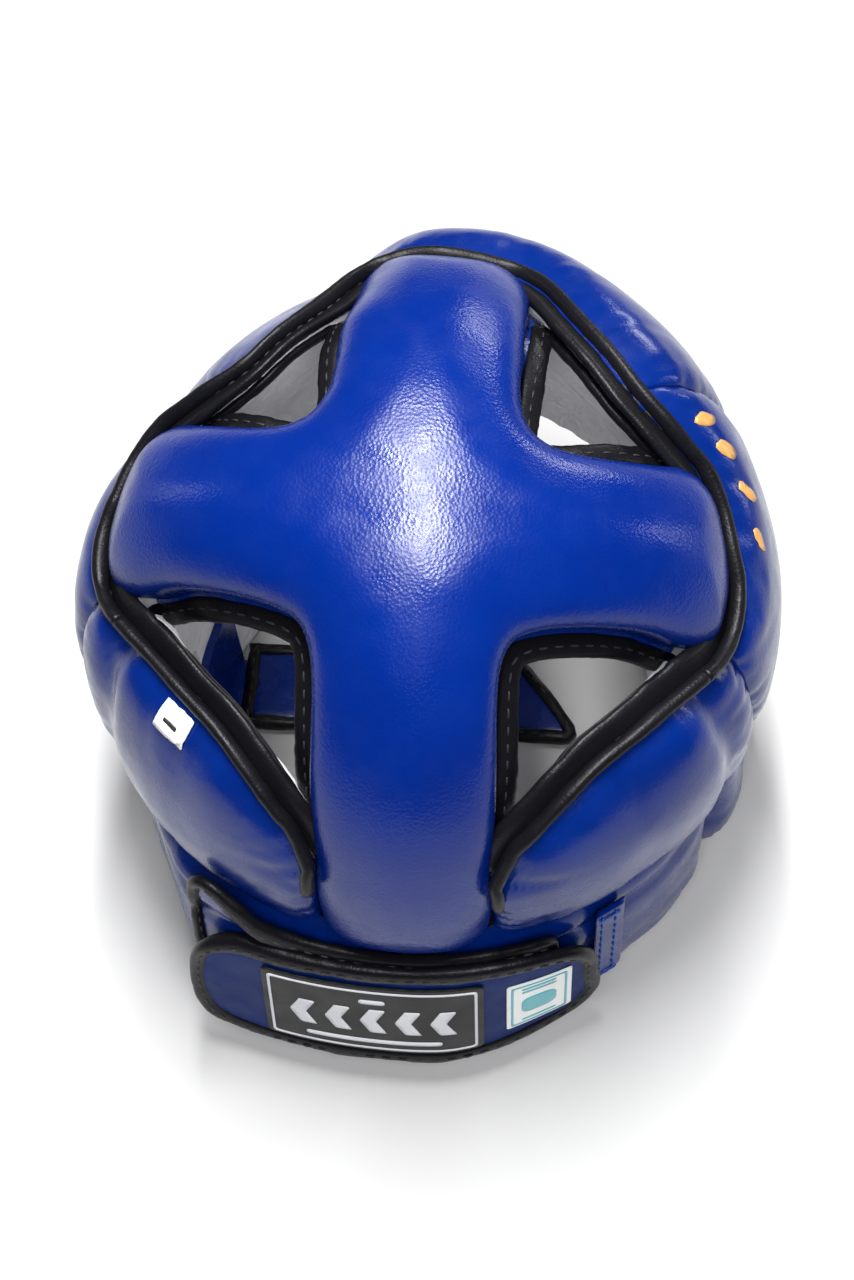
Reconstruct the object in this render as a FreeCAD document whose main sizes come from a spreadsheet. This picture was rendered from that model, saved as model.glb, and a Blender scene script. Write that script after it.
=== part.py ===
import FreeCAD, Part
import Sketcher

import os

# Boxing headgear, millimetres. +Z is up and the wearer looks along -Y, so +X is the wearer's left.
# The origin is on the plane that the cheek pads and neck panels stand on.
# Every padded layer lies between nested closed forms: a domed upper half over a slightly tapered skirt.

doc = FreeCAD.newDocument("boxing_headgear")
sheet = doc.addObject("Spreadsheet::Sheet", "Sizes")
V = FreeCAD.Vector

SIZES = [
    # the space for the head, and where its widest level lies
    ("head_half_width", 88),
    ("head_half_length", 97),
    ("length_share", 0.85),
    ("crown_rise", 85),
    ("band_rise", 138),
    ("skirt_drop", 400),
    ("centre_y", 1.5),
    ("widest_level", 108),
    # layers, counted outwards from the head
    ("lining_thickness", 1.6),
    ("layer_gap", 0.4),
    ("base_outer", 5.4),
    ("pad_thickness", 30),
    ("crown_pad_outer", 31),
    ("skin_thickness", 1.6),
    ("neck_thickness", 24),
    # the padded roll round the forehead, temples and back of the head
    ("roll_half_width", 119),
    ("roll_front_length", 131),
    ("roll_rear_length", 121),
    ("roll_half_height", 105),
    ("roll_level", 112),
    # the cross over the crown
    ("arm_half_width", 28),
    ("side_arm_front", 1),
    ("side_arm_tip_front", -30),
    ("side_arm_rear", 55),
    ("side_arm_tip_rear", 28),
    ("side_arm_reach", 125),
    ("cross_corner_ease", 14),
    ("base_margin", 4),
    ("binding_width", 4.5),
    ("rear_arm_foot", 82.4),
    # how far the rear lobes stay clear of the rear arm: their skin, and their filling and lining
    ("lobe_gap", 2),
    ("lobe_filling_gap", 10.5),
    # heights of the upper edge of the roll
    ("edge_front", 184),
    ("edge_high", 194),
    ("edge_low", 157.5),
    ("edge_rear", 162),
    ("edge_end", 134),
    ("piping_width", 6.5),
    ("piping_inner", 24),
    ("rear_piping_inner", 21),
    ("trim_rise", 2.5),
    # heights and bearings of the lower edges
    ("brow_level", 98),
    ("cheek_top", 82),
    ("cheek_mouth_top", 44),
    ("ear_hole_radius", 14),
    ("ear_hole_level", 50),
    ("ear_hole_y", 6),
    ("ear_ring_width", 4),
    ("eye_notch_start", 44),
    ("eye_notch_half_width", 62),
    ("eye_notch_rear_half_width", 112),
    ("neck_slit_half_width", 3),
    ("brow_inner", 4),
    ("brow_width", 4),
    # rear closure
    ("strap_foot", 21),
    ("strap_height", 56),
    ("strap_free_end", 70),
    ("strap_root_line", 60),
    ("strap_inner", 30.5),
    ("strap_thickness", 3),
    ("strap_corner_radius", 16),
    ("edge_tape", 5),
    ("loop_panel_inner", 25),
    ("loop_panel_thickness", 2.4),
    ("loop_panel_left", 68),
    ("loop_panel_right", 46),
    ("loop_patch_inner", 27.5),
    ("loop_patch_left", 60),
    ("loop_patch_right", 36),
    ("hook_patch_inner", 29.1),
    ("hook_patch_left", 58),
    ("hook_patch_right", 10),
    ("patch_low", 33),
    ("patch_high", 65),
    ("patch_thickness", 1),
    ("root_right", 80),
    ("badge_right", 26),
    ("badge_foot", 6),
    ("badge_thickness", 1.5),
    ("label_left", 33),
    ("label_foot", 11),
    ("label_thickness", 0.7),
    ("badge_width", 75),
    ("badge_height", 44),
    ("label_width", 22),
    ("label_height", 34),
    # size tab on the left rear lobe
    ("tab_x", 64),
    ("tab_width", 16),
    ("tab_foot", 138),
    ("tab_height", 20),
    ("opening_rear_y", 46),
    # chin strap
    ("chin_hinge_x", 73),
    ("chin_strap_length", 125),
    ("chin_strap_width", 36),
    ("chin_strap_thickness", 4),
    ("chin_strap_rear", -4),
    ("chin_strap_level", 1.4),
    ("chin_strap_point", 24),
    ("chin_binding_rise", 0.6),
    ("chin_binding_width", 4),
    ("chin_hook_left", 16),
    ("chin_hook_right", 18),
    ("chin_hook_front", 32),
    ("chin_hook_rear", 11),
    ("anchor_front", 32),
    ("anchor_rear", 5),
    ("anchor_top", 44),
    ("anchor_thickness", 3),
    ("chin_patch_front", 60),
    ("chin_patch_rear", 20),
    ("chin_patch_foot", 8),
    ("chin_patch_top", 40),
]
for row, (alias, size) in enumerate(SIZES, start=1):
    cell = "B%d" % row
    sheet.set("A%d" % row, alias.replace("_", " "))
    sheet.set(cell, str(size))
    sheet.setAlias(cell, alias)
doc.recompute()

FAR = 170.0            # half size of the blocks that pick out one region of a layer
HIGH = "260"           # a level above everything
REAR_COLUMN = 45       # half width of the block in which the rear arm runs down past the roll's edge
OPENING_SPLIT = 25     # y where a side arm parts the front opening from the rear one
REAR_CORNER = 48.5     # y where the piping of the ring ends and that of the rear edges starts
SEAM = 0.25            # angle in degrees left clear on each side of a seam
FRONT = -90.0          # bearing of the face, counted anticlockwise from +X
SEAM_TEMPLE = 60.0     # bearing from the face of the seam between forehead and temple
SEAM_LOBE = 107.0      # bearing of the seam between temple and rear lobe
CHEEK_FRONT = 40.0     # bearing of the edge of the face opening
CHEEK_REAR = 111.0     # bearing of the rear edge of the cheek pad
CHEEK_TAPE = 2.6       # angle that the tape along an upright cheek edge takes up


def size(alias):
    return float(sheet.get(alias))


def bind(thing, **formulas):
    for name, formula in formulas.items():
        thing.setExpression(name, formula)
    return thing


def half_form(name, width, length, height, upper, level="Sizes.widest_level"):
    """Half an ellipsoid on the widest level, the domed half or the skirt half."""
    half = doc.addObject("Part::Ellipsoid", name)
    half.Angle1 = 0 if upper else -90
    half.Angle2 = 90 if upper else 0
    bind(half, Radius1=height, Radius2=width, Radius3=length)
    bind(half, **{"Placement.Base.y": "Sizes.centre_y", "Placement.Base.z": level})
    return half


def form(name, offset, rise="Sizes.crown_rise"):
    """The closed form this far outside the head space; it grows less along the head than across it."""
    width = "Sizes.head_half_width + " + offset
    length = "Sizes.head_half_length + Sizes.length_share * " + offset
    dome = half_form(name + "_dome", width, length, "%s + %s" % (rise, offset), True)
    skirt = half_form(name + "_skirt", width, length, "Sizes.skirt_drop + " + offset, False)
    return fuse(name, dome, skirt)


def roll_form(name, inset, length):
    """The barrel-shaped form of the padded roll, inset by a layer."""
    roll = doc.addObject("Part::Ellipsoid", name)
    roll.Angle1 = -90
    roll.Angle2 = 90
    bind(roll, Radius1="Sizes.roll_half_height - " + inset, Radius2="Sizes.roll_half_width - " + inset,
         Radius3="Sizes.%s - %s" % (length, inset))
    bind(roll, **{"Placement.Base.y": "Sizes.centre_y", "Placement.Base.z": "Sizes.roll_level"})
    return roll


def fuse(name, first, second):
    joined = doc.addObject("Part::Fuse", name)
    joined.Base = first
    joined.Tool = second
    return joined


def cut(name, solid, tool):
    result = doc.addObject("Part::Cut", name)
    result.Base = solid
    result.Tool = tool
    return result


def common(name, first, second):
    result = doc.addObject("Part::Common", name)
    result.Base = first
    result.Tool = second
    return result


def mirror(name, source):
    """The same piece for the wearer's right."""
    twin = doc.addObject("Part::Mirroring", name)
    twin.Source = source
    twin.Normal = V(1, 0, 0)
    twin.Base = V(0, 0, 0)
    return twin


def box(name, low, high):
    """A block between two corners, each a formula or a number."""
    block = doc.addObject("Part::Box", name)
    for side, axis, a, b in zip(("Length", "Width", "Height"), "xyz", low, high):
        bind(block, **{side: "(%s) - (%s)" % (b, a), "Placement.Base." + axis: str(a)})
    return block


def sector(name, start, end, low, high):
    """A pie slice of everything between two bearings from the face and two heights."""
    slice_ = doc.addObject("Part::Cylinder", name)
    slice_.Radius = FAR
    slice_.Angle = end - start
    slice_.Placement = FreeCAD.Placement(V(0, 0, 0), FreeCAD.Rotation(V(0, 0, 1), FRONT + start))
    bind(slice_, Height="(%s) - (%s)" % (high, low))
    bind(slice_, **{"Placement.Base.y": "Sizes.centre_y", "Placement.Base.z": str(low)})
    return slice_


def draw_loop(sketch, corners):
    """A closed loop of straight sides through corners given as pairs of formulas, each held by them."""
    first = sketch.GeometryCount
    points = [V(sketch.evalExpression(h), sketch.evalExpression(v), 0) for h, v in corners]
    count = len(points)
    for i in range(count):
        sketch.addGeometry(Part.LineSegment(points[i], points[(i + 1) % count]))
    for i in range(count):
        sketch.addConstraint(Sketcher.Constraint("Coincident", first + i, 2, first + (i + 1) % count, 1))
    for i, (h, v) in enumerate(corners):
        for kind, formula, value in (("DistanceX", h, points[i].x), ("DistanceY", v, points[i].y)):
            number = sketch.addConstraint(Sketcher.Constraint(kind, -1, 1, first + i, 1, value))
            sketch.setExpression("Constraints[%d]" % number, formula)


def outline(name, corners, turn):
    """A closed sketch through corners given as pairs of formulas, on a plane turned from XY."""
    sketch = doc.addObject("Sketcher::SketchObject", name)
    sketch.Placement = FreeCAD.Placement(V(0, 0, 0), turn)
    draw_loop(sketch, corners)
    return sketch


def prism(name, profile, direction, start, end):
    """The profile pushed along a direction, from one distance to another."""
    block = doc.addObject("Part::Extrusion", name)
    block.Base = profile
    block.DirMode = "Custom"
    block.Dir = direction
    block.LengthFwd = end
    block.LengthRev = -start
    block.Solid = True
    return block


FLAT = FreeCAD.Rotation()
SIDE_ON = FreeCAD.Rotation(V(0, 1, 0), V(0, 0, 1), V(1, 0, 0), "ZXY")
FRONT_ON = FreeCAD.Rotation(V(1, 0, 0), V(0, 0, 1), V(0, -1, 0), "ZXY")


def layer(name, inner, outer):
    return cut(name, outer, inner)


# ---- nested forms ------------------------------------------------------------------------------
FOAM_START = "(Sizes.lining_thickness + Sizes.layer_gap)"
SKIN_START = "(Sizes.skin_thickness)"
FOAM_END = "(Sizes.skin_thickness + Sizes.layer_gap)"

head = form("head_form", "0")
lining_outer = form("lining_outer_form", "Sizes.lining_thickness")
foam_inner = form("foam_inner_form", FOAM_START)
base_outer = form("base_outer_form", "Sizes.base_outer")
crown_foam_inner = form("crown_foam_inner_form", "(Sizes.base_outer + Sizes.layer_gap)")
crown_foam_outer = form("crown_foam_outer_form", "(Sizes.crown_pad_outer - %s)" % FOAM_END)
crown_skin_inner = form("crown_skin_inner_form", "(Sizes.crown_pad_outer - %s)" % SKIN_START)
crown_outer = form("crown_outer_form", "Sizes.crown_pad_outer")
piping_inner = form("piping_inner_form", "Sizes.piping_inner")
piping_outer = form("piping_outer_form", "(Sizes.pad_thickness + Sizes.trim_rise)")
cheek_foam_outer = form("cheek_foam_outer_form", "(Sizes.pad_thickness - %s)" % FOAM_END)
cheek_skin_inner = form("cheek_skin_inner_form", "(Sizes.pad_thickness - %s)" % SKIN_START)
cheek_outer = form("cheek_outer_form", "Sizes.pad_thickness")
neck_foam_outer = form("neck_foam_outer_form", "(Sizes.neck_thickness - %s)" % FOAM_END)
neck_skin_inner = form("neck_skin_inner_form", "(Sizes.neck_thickness - %s)" % SKIN_START)
neck_outer = form("neck_outer_form", "Sizes.neck_thickness")
front_roll = roll_form("front_roll_form", "0", "roll_front_length")
front_roll_skin = roll_form("front_roll_skin_form", SKIN_START, "roll_front_length")
front_roll_foam = roll_form("front_roll_foam_form", FOAM_END, "roll_front_length")
rear_roll = roll_form("rear_roll_form", "0", "roll_rear_length")
rear_roll_skin = roll_form("rear_roll_skin_form", SKIN_START, "roll_rear_length")
rear_roll_foam = roll_form("rear_roll_foam_form", FOAM_END, "roll_rear_length")

band_head = form("band_head_form", "0", "Sizes.band_rise")
band_lining_outer = form("band_lining_outer_form", "Sizes.lining_thickness", "Sizes.band_rise")
band_foam_inner = form("band_foam_inner_form", FOAM_START, "Sizes.band_rise")

lining_layer = layer("lining_layer", head, lining_outer)
band_lining_layer = layer("band_lining_layer", band_head, band_lining_outer)
base_layer = layer("base_layer", foam_inner, base_outer)
crown_foam_layer = layer("crown_foam_layer", crown_foam_inner, crown_foam_outer)
crown_skin_layer = layer("crown_skin_layer", crown_skin_inner, crown_outer)
tape_layer = layer("tape_layer", head, crown_foam_inner)
piping_layer = layer("piping_layer", piping_inner, piping_outer)
front_foam_layer = layer("front_foam_layer", band_foam_inner, front_roll_foam)
front_skin_layer = layer("front_skin_layer", front_roll_skin, front_roll)
rear_foam_layer = layer("rear_foam_layer", band_foam_inner, rear_roll_foam)
rear_skin_layer = layer("rear_skin_layer", rear_roll_skin, rear_roll)
cheek_foam_layer = layer("cheek_foam_layer", foam_inner, cheek_foam_outer)
cheek_skin_layer = layer("cheek_skin_layer", cheek_skin_inner, cheek_outer)
neck_foam_layer = layer("neck_foam_layer", foam_inner, neck_foam_outer)
neck_skin_layer = layer("neck_skin_layer", neck_skin_inner, neck_outer)


# ---- upper edge of the roll, seen from the side ---------------------------------------------------
def edge_line(lift):
    """The upper edge from front to rear as (y, z) formulas, y from the middle of the head space."""
    heights = [
        (-FAR, "Sizes.edge_front - 8"),
        (-93, "Sizes.edge_front"),
        (-65, "Sizes.edge_high - 3"),
        (-41, "Sizes.edge_high"),
        (-25, "Sizes.edge_front"),
        (-10, "Sizes.edge_low + 13"),
        (5, "Sizes.edge_low + 5"),
        (21, "Sizes.edge_low"),
        (40, "Sizes.edge_low"),
        (52, "Sizes.edge_rear - 2"),
        (71, "Sizes.edge_rear"),
        (83, "Sizes.edge_rear"),
        (94, "Sizes.edge_rear - 4"),
        (103, "Sizes.edge_end + 16"),
        (108, "Sizes.edge_end + 8"),
        (113, "Sizes.edge_end"),
        (FAR, "Sizes.edge_end - 8"),
    ]
    return [("Sizes.centre_y + (%s)" % y, "%s + (%s)" % (z, lift)) for y, z in heights]


below_edge = prism(
    "below_edge",
    outline("below_edge_profile", edge_line("0") + [(str(FAR), "-10"), (str(-FAR), "-10")], SIDE_ON),
    V(1, 0, 0), -FAR, FAR)
crown_line = edge_line("Sizes.layer_gap")[:11]
above_edge = prism(
    "above_edge",
    outline("above_edge_profile", crown_line + [(str(FAR), crown_line[-1][1]), (str(FAR), "300"),
                                                (str(-FAR), "300")], SIDE_ON),
    V(1, 0, 0), -FAR, FAR)
piping_top = edge_line("Sizes.layer_gap + Sizes.piping_width")
piping_strip = prism(
    "piping_strip",
    outline("piping_profile", edge_line("Sizes.layer_gap") + piping_top[::-1], SIDE_ON),
    V(1, 0, 0), -FAR, FAR)
pad_line = edge_line("Sizes.layer_gap + Sizes.piping_width + Sizes.layer_gap")[:11]
above_piping = prism(
    "above_piping",
    outline("above_piping_profile", pad_line + [(str(FAR), pad_line[-1][1]), (str(FAR), "300"),
                                                (str(-FAR), "300")], SIDE_ON),
    V(1, 0, 0), -FAR, FAR)
rear_column = box("rear_column", (str(-REAR_COLUMN), "40", "Sizes.rear_arm_foot"),
                  (str(REAR_COLUMN), str(FAR), HIGH))
crown_zone = fuse("crown_zone", above_edge, rear_column)
pad_zone = fuse("pad_zone", above_piping, rear_column)


# ---- the cross over the crown, seen from above -----------------------------------------------------
def cross_prism(name, grow):
    """The cross outline grown by a formula, its inner corners eased, as an upright block."""
    edge = "Sizes.arm_half_width + (%s)" % grow
    ease = "Sizes.cross_corner_ease"
    front = "Sizes.centre_y + Sizes.side_arm_front - (%s)" % grow
    rear = "Sizes.centre_y + Sizes.side_arm_rear + (%s)" % grow
    left_side = [
        (edge, str(-FAR)),
        (edge, "%s - %s" % (front, ease)),
        ("%s + %s * 0.35" % (edge, ease), "%s - %s * 0.25" % (front, ease)),
        ("%s + %s" % (edge, ease), front),
        ("Sizes.side_arm_reach", "Sizes.centre_y + Sizes.side_arm_tip_front - (%s)" % grow),
        ("Sizes.side_arm_reach", "Sizes.centre_y + Sizes.side_arm_tip_rear + (%s)" % grow),
        ("%s + %s" % (edge, ease), rear),
        ("%s + %s * 0.35" % (edge, ease), "%s + %s * 0.35" % (rear, ease)),
        (edge, "%s + %s" % (rear, ease)),
        (edge, str(FAR)),
    ]
    right_side = [("-(%s)" % x, y) for x, y in left_side[::-1]]
    return prism(name, outline(name + "_outline", left_side + right_side, FLAT), V(0, 0, 1), 60, 250)


def piece(label, solid):
    """Names a finished piece, which also names its file."""
    solid.Label = label
    pieces.append(solid)
    return solid


def pair(label, solid):
    """A finished piece for the wearer's left and its twin for the right."""
    piece("left_" + label, solid)
    piece("right_" + label, mirror("right_" + label, solid))


pieces = []

# ---- crown --------------------------------------------------------------------------------------
cross_base = cross_prism("cross_base", "Sizes.base_margin")
cross_pad = cross_prism("cross_pad", "0")
cross_foam = cross_prism("cross_foam", "-Sizes.skin_thickness - Sizes.layer_gap")
cross_core = cross_prism("cross_core", "-Sizes.skin_thickness")
cross_tape = cross_prism("cross_tape", "Sizes.base_margin + Sizes.binding_width")
cross_tape_inner = cross_prism("cross_tape_inner", "Sizes.base_margin + Sizes.layer_gap")
base_area = common("base_area", cross_base, crown_zone)
pad_area = common("pad_area", cross_pad, pad_zone)
foam_area = common("foam_area", cross_foam, pad_zone)

piece("crown_lining", common("crown_lining", lining_layer, base_area))
piece("crown_base_panel", common("crown_base_panel", base_layer, base_area))
piece("crown_pad_foam", common("crown_pad_foam", crown_foam_layer, foam_area))
cover_block = common("cover_block", layer("cover_layer", crown_foam_inner, crown_outer), pad_area)
cover_hollow = common("cover_hollow", layer("cover_hollow_layer", head, crown_skin_inner), cross_core)
piece("crown_pad_cover", cut("crown_pad_cover", cover_block, cover_hollow))

tape_area = cut("tape_area", common("tape_zone", cross_tape, crown_zone), cross_tape_inner)
tape = common("tape", tape_layer, tape_area)
for label, y_low, y_high in (("front", -FAR, OPENING_SPLIT), ("rear", OPENING_SPLIT, FAR)):
    quarter = box(label + "_quarter", ("20", str(y_low), "60"), (str(FAR), str(y_high), HIGH))
    binding = common("left_%s_opening_binding" % label, tape, quarter)
    piece("left_%s_opening_binding" % label, binding)
    piece("right_%s_opening_binding" % label, mirror("right_%s_opening_binding" % label, binding))

# ---- forehead, temples and rear lobes ---------------------------------------------------------------
CEILING = "230"
forehead_area = common("forehead_area", below_edge,
                       sector("forehead_sector", -SEAM_TEMPLE + SEAM, SEAM_TEMPLE - SEAM,
                              "Sizes.brow_level", CEILING))
temple_area = common("temple_area", below_edge,
                     sector("temple_sector", SEAM_TEMPLE + SEAM, SEAM_LOBE - SEAM,
                            "Sizes.cheek_top", CEILING))
lobe_column = box("lobe_column", ("Sizes.arm_half_width + Sizes.lobe_filling_gap", "0", "Sizes.cheek_top"),
                  (str(FAR), str(FAR), CEILING))
lobe_sector = sector("lobe_sector", SEAM_LOBE + SEAM, 180, "Sizes.cheek_top", CEILING)
lobe_area = common("lobe_area", common("lobe_slice", below_edge, lobe_sector), lobe_column)
lobe_skin_column = box("lobe_skin_column", ("Sizes.arm_half_width + Sizes.lobe_gap", "0", "Sizes.cheek_top"),
                       (str(FAR), str(FAR), CEILING))
lobe_skin_area = common("lobe_skin_area", common("lobe_skin_slice", below_edge, lobe_sector),
                        lobe_skin_column)
side_lining_column = box("side_lining_column",
                         ("Sizes.arm_half_width + Sizes.lobe_filling_gap", str(-FAR), "Sizes.cheek_top"),
                         (str(FAR), str(FAR), CEILING))
side_lining_sector = sector("side_lining_sector", SEAM_TEMPLE + SEAM, 180, "Sizes.cheek_top", CEILING)
side_lining_area = common("side_lining_area", common("side_lining_slice", below_edge, side_lining_sector),
                          side_lining_column)

piece("forehead_lining", common("forehead_lining", band_lining_layer, forehead_area))
piece("forehead_foam", common("forehead_foam", front_foam_layer, forehead_area))
piece("forehead_cover", common("forehead_cover", front_skin_layer, forehead_area))
pair("side_lining", common("left_side_lining", band_lining_layer, side_lining_area))
pair("temple_foam", common("left_temple_foam", front_foam_layer, temple_area))
pair("temple_cover", common("left_temple_cover", front_skin_layer, temple_area))
pair("rear_lobe_foam", common("left_rear_lobe_foam", rear_foam_layer, lobe_area))
pair("rear_lobe_cover", common("left_rear_lobe_cover", rear_skin_layer, lobe_skin_area))

# ---- bindings of the upper edge and the brow --------------------------------------------------------
piping = common("piping", piping_layer, piping_strip)
ring_box = box("ring_box", (str(-FAR), str(-FAR), "100"), (str(FAR), str(REAR_CORNER), HIGH))
piece("band_top_binding", common("band_top_binding", piping, ring_box))
rear_edge_box = box("rear_edge_box", ("Sizes.arm_half_width + 1", str(REAR_CORNER + 0.4), "100"),
                    (str(FAR), str(FAR), HIGH))
rear_edge_shell = layer("rear_edge_layer", form("rear_edge_inner_form", "Sizes.rear_piping_inner"),
                        piping_outer)
rear_edge_strip = common("rear_edge_strip", rear_edge_shell, piping_strip)
pair("rear_edge_binding", common("left_rear_edge_binding", rear_edge_strip, rear_edge_box))
brow_shell = layer("brow_layer", form("brow_inner_form", "Sizes.brow_inner"), cheek_foam_outer)
brow_sector = sector("brow_sector", -SEAM_TEMPLE + 1, SEAM_TEMPLE - 1,
                     "Sizes.brow_level - Sizes.brow_width - Sizes.layer_gap",
                     "Sizes.brow_level - Sizes.layer_gap")
piece("brow_binding", common("brow_binding", brow_shell, brow_sector))

# ---- cheek pads with their ear holes ------------------------------------------------------------------
eye_notch = prism(
    "eye_notch",
    outline("eye_notch_profile", [("0", "Sizes.cheek_mouth_top"),
                                  ("Sizes.eye_notch_half_width", "Sizes.cheek_mouth_top"),
                                  ("Sizes.eye_notch_rear_half_width", "Sizes.cheek_top - 8"),
                                  ("Sizes.eye_notch_rear_half_width", HIGH), ("0", HIGH)], FRONT_ON),
    V(0, -1, 0), size("eye_notch_start"), FAR)
cheek_sector = sector("cheek_sector", CHEEK_FRONT, CHEEK_REAR, "0", "Sizes.cheek_top - Sizes.layer_gap")
ear_hole = doc.addObject("Part::Cylinder", "ear_hole")
ear_hole.Height = FAR
ear_hole.Placement = FreeCAD.Placement(V(0, 0, 0), FreeCAD.Rotation(V(0, 1, 0), 90))
bind(ear_hole, Radius="Sizes.ear_hole_radius")
bind(ear_hole, **{"Placement.Base.y": "Sizes.ear_hole_y", "Placement.Base.z": "Sizes.ear_hole_level"})
cheek_block = cut("cheek_block", cheek_sector, eye_notch)
cheek_area = cut("cheek_area", cheek_block, ear_hole)
pair("cheek_lining", common("left_cheek_lining", lining_layer, cheek_area))
pair("cheek_foam", common("left_cheek_foam", cheek_foam_layer, cheek_area))
pair("cheek_cover", common("left_cheek_cover", cheek_skin_layer, cheek_area))

trim_layer = layer("trim_layer", form("trim_inner_form", "(Sizes.pad_thickness + Sizes.layer_gap)"),
                   piping_outer)
ear_ring = doc.addObject("Part::Cylinder", "ear_ring")
ear_ring.Height = FAR
ear_ring.Placement = FreeCAD.Placement(V(0, 0, 0), FreeCAD.Rotation(V(0, 1, 0), 90))
bind(ear_ring, Radius="Sizes.ear_hole_radius + Sizes.ear_ring_width")
bind(ear_ring, **{"Placement.Base.y": "Sizes.ear_hole_y", "Placement.Base.z": "Sizes.ear_hole_level"})
pair("ear_hole_binding", common("left_ear_hole_binding", trim_layer, cut("ear_tube", ear_ring, ear_hole)))
cheek_inset = sector("cheek_inset", CHEEK_FRONT + CHEEK_TAPE, CHEEK_REAR - CHEEK_TAPE,
                     "Sizes.edge_tape", HIGH)
cheek_rim = cut("cheek_rim", cheek_block, cheek_inset)
pair("cheek_binding", common("left_cheek_binding", trim_layer, cheek_rim))

# ---- neck panels ----------------------------------------------------------------------------------------
neck_sector = sector("neck_sector", CHEEK_REAR + SEAM, 180, "0", "Sizes.cheek_top - Sizes.layer_gap")
neck_column = box("neck_column", ("Sizes.neck_slit_half_width", "0", "-1"), (str(FAR), str(FAR), HIGH))
neck_area = common("neck_area", neck_sector, neck_column)
pair("neck_panel_lining", common("left_neck_panel_lining", lining_layer, neck_area))
pair("neck_panel_foam", common("left_neck_panel_foam", neck_foam_layer, neck_area))
pair("neck_panel_cover", common("left_neck_panel_cover", neck_skin_layer, neck_area))


# ---- rear closure ----------------------------------------------------------------------------------------
def flat_outline(name, corners):
    """An outline seen from behind, pushed back through the rear of the headgear."""
    return prism(name, outline(name + "_profile", corners, FRONT_ON), V(0, 1, 0), 20, FAR)


def rectangle(name, right, left, low, high):
    """A rectangle seen from behind, between four formulas."""
    return flat_outline(name, [(right, low), (left, low), (left, high), (right, high)])


def rounded_end(left, right, low, high, ease):
    """A strip seen from behind, square at its right end and eased at its free left end."""
    left, right, low, high, ease = ("(%s)" % formula for formula in (left, right, low, high, ease))
    return [
        ("-" + right, low),
        ("%s - %s" % (left, ease), low),
        ("%s - %s * 0.3" % (left, ease), "%s + %s * 0.3" % (low, ease)),
        (left, "%s + %s" % (low, ease)),
        (left, "%s - %s" % (high, ease)),
        ("%s - %s * 0.3" % (left, ease), "%s - %s * 0.3" % (high, ease)),
        ("%s - %s" % (left, ease), high),
        ("-" + right, high),
    ]


def strap_layer(name, start, end):
    return layer(name, form(name + "_inner", "(%s)" % start), form(name + "_outer", "(%s)" % end))


PANEL_LOW = "Sizes.strap_foot + 2"
PANEL_HIGH = "Sizes.cheek_top - Sizes.layer_gap"
PANEL_START = "Sizes.loop_panel_inner"
PANEL_END = "Sizes.loop_panel_inner + Sizes.loop_panel_thickness"


def panel_outline(name, inset, reach):
    """The loop panel moved in by a formula on three sides; its left end moves out by a reach."""
    right = "-Sizes.loop_panel_right + (%s)" % inset
    left = "Sizes.loop_panel_left + (%s)" % reach
    low = "%s + (%s)" % (PANEL_LOW, inset)
    high = "%s - (%s)" % (PANEL_HIGH, inset)
    return rectangle(name, right, left, low, high)


panel_whole = panel_outline("panel_whole", "0", "0")
panel_inset = panel_outline("panel_inset", "Sizes.edge_tape", "1")
panel_tape = panel_outline("panel_tape", "Sizes.edge_tape + Sizes.layer_gap", "2")
panel_core = common("panel_core", panel_whole, panel_tape)
piece("rear_loop_panel", common("rear_loop_panel", strap_layer("panel_layer", PANEL_START, PANEL_END),
                                panel_core))
panel_rim = cut("panel_rim", panel_whole, panel_inset)
piece("rear_loop_panel_binding",
      common("rear_loop_panel_binding",
             strap_layer("panel_rim_layer", PANEL_START + " - 0.5", PANEL_END + " + 0.6"), panel_rim))
loop_area = rectangle("loop_area", "-Sizes.loop_patch_right", "Sizes.loop_patch_left",
                      "Sizes.patch_low - 1", "Sizes.patch_high + 1")
loop_layer = strap_layer("loop_layer", "Sizes.loop_patch_inner",
                         "Sizes.loop_patch_inner + Sizes.patch_thickness")
piece("rear_loop_patch", common("rear_loop_patch", loop_layer, loop_area))

STRAP_LOW = "Sizes.strap_foot"
STRAP_HIGH = "Sizes.strap_foot + Sizes.strap_height"
STRAP_START = "Sizes.strap_inner"
STRAP_END = "Sizes.strap_inner + Sizes.strap_thickness"
strap_whole = flat_outline("strap_whole", rounded_end("Sizes.strap_free_end", "Sizes.strap_root_line",
                                                      STRAP_LOW, STRAP_HIGH, "Sizes.strap_corner_radius"))
strap_inset = flat_outline("strap_inset",
                           rounded_end("Sizes.strap_free_end - Sizes.edge_tape",
                                       "Sizes.strap_root_line + 5",
                                       STRAP_LOW + " + Sizes.edge_tape", STRAP_HIGH + " - Sizes.edge_tape",
                                       "Sizes.strap_corner_radius - 3"))
strap_core = flat_outline("strap_core",
                          rounded_end("Sizes.strap_free_end - Sizes.edge_tape - Sizes.layer_gap",
                                      "Sizes.strap_root_line",
                                      STRAP_LOW + " + Sizes.edge_tape + Sizes.layer_gap",
                                      STRAP_HIGH + " - Sizes.edge_tape - Sizes.layer_gap",
                                      "Sizes.strap_corner_radius - 3"))
piece("rear_strap", common("rear_strap", strap_layer("strap_shell", STRAP_START, STRAP_END), strap_core))
strap_rim = cut("strap_rim", strap_whole, strap_inset)
piece("rear_strap_binding",
      common("rear_strap_binding",
             strap_layer("strap_rim_shell", STRAP_START + " - 0.5", STRAP_END + " + 0.6"), strap_rim))
hook_area = rectangle("hook_area", "-Sizes.hook_patch_right", "Sizes.hook_patch_left",
                      "Sizes.patch_low", "Sizes.patch_high")
hook_layer = strap_layer("hook_layer", "Sizes.hook_patch_inner",
                         "Sizes.hook_patch_inner + Sizes.patch_thickness")
piece("rear_strap_hook_patch", common("rear_strap_hook_patch", hook_layer, hook_area))
MARK_START = STRAP_END + " + 0.3"
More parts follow.
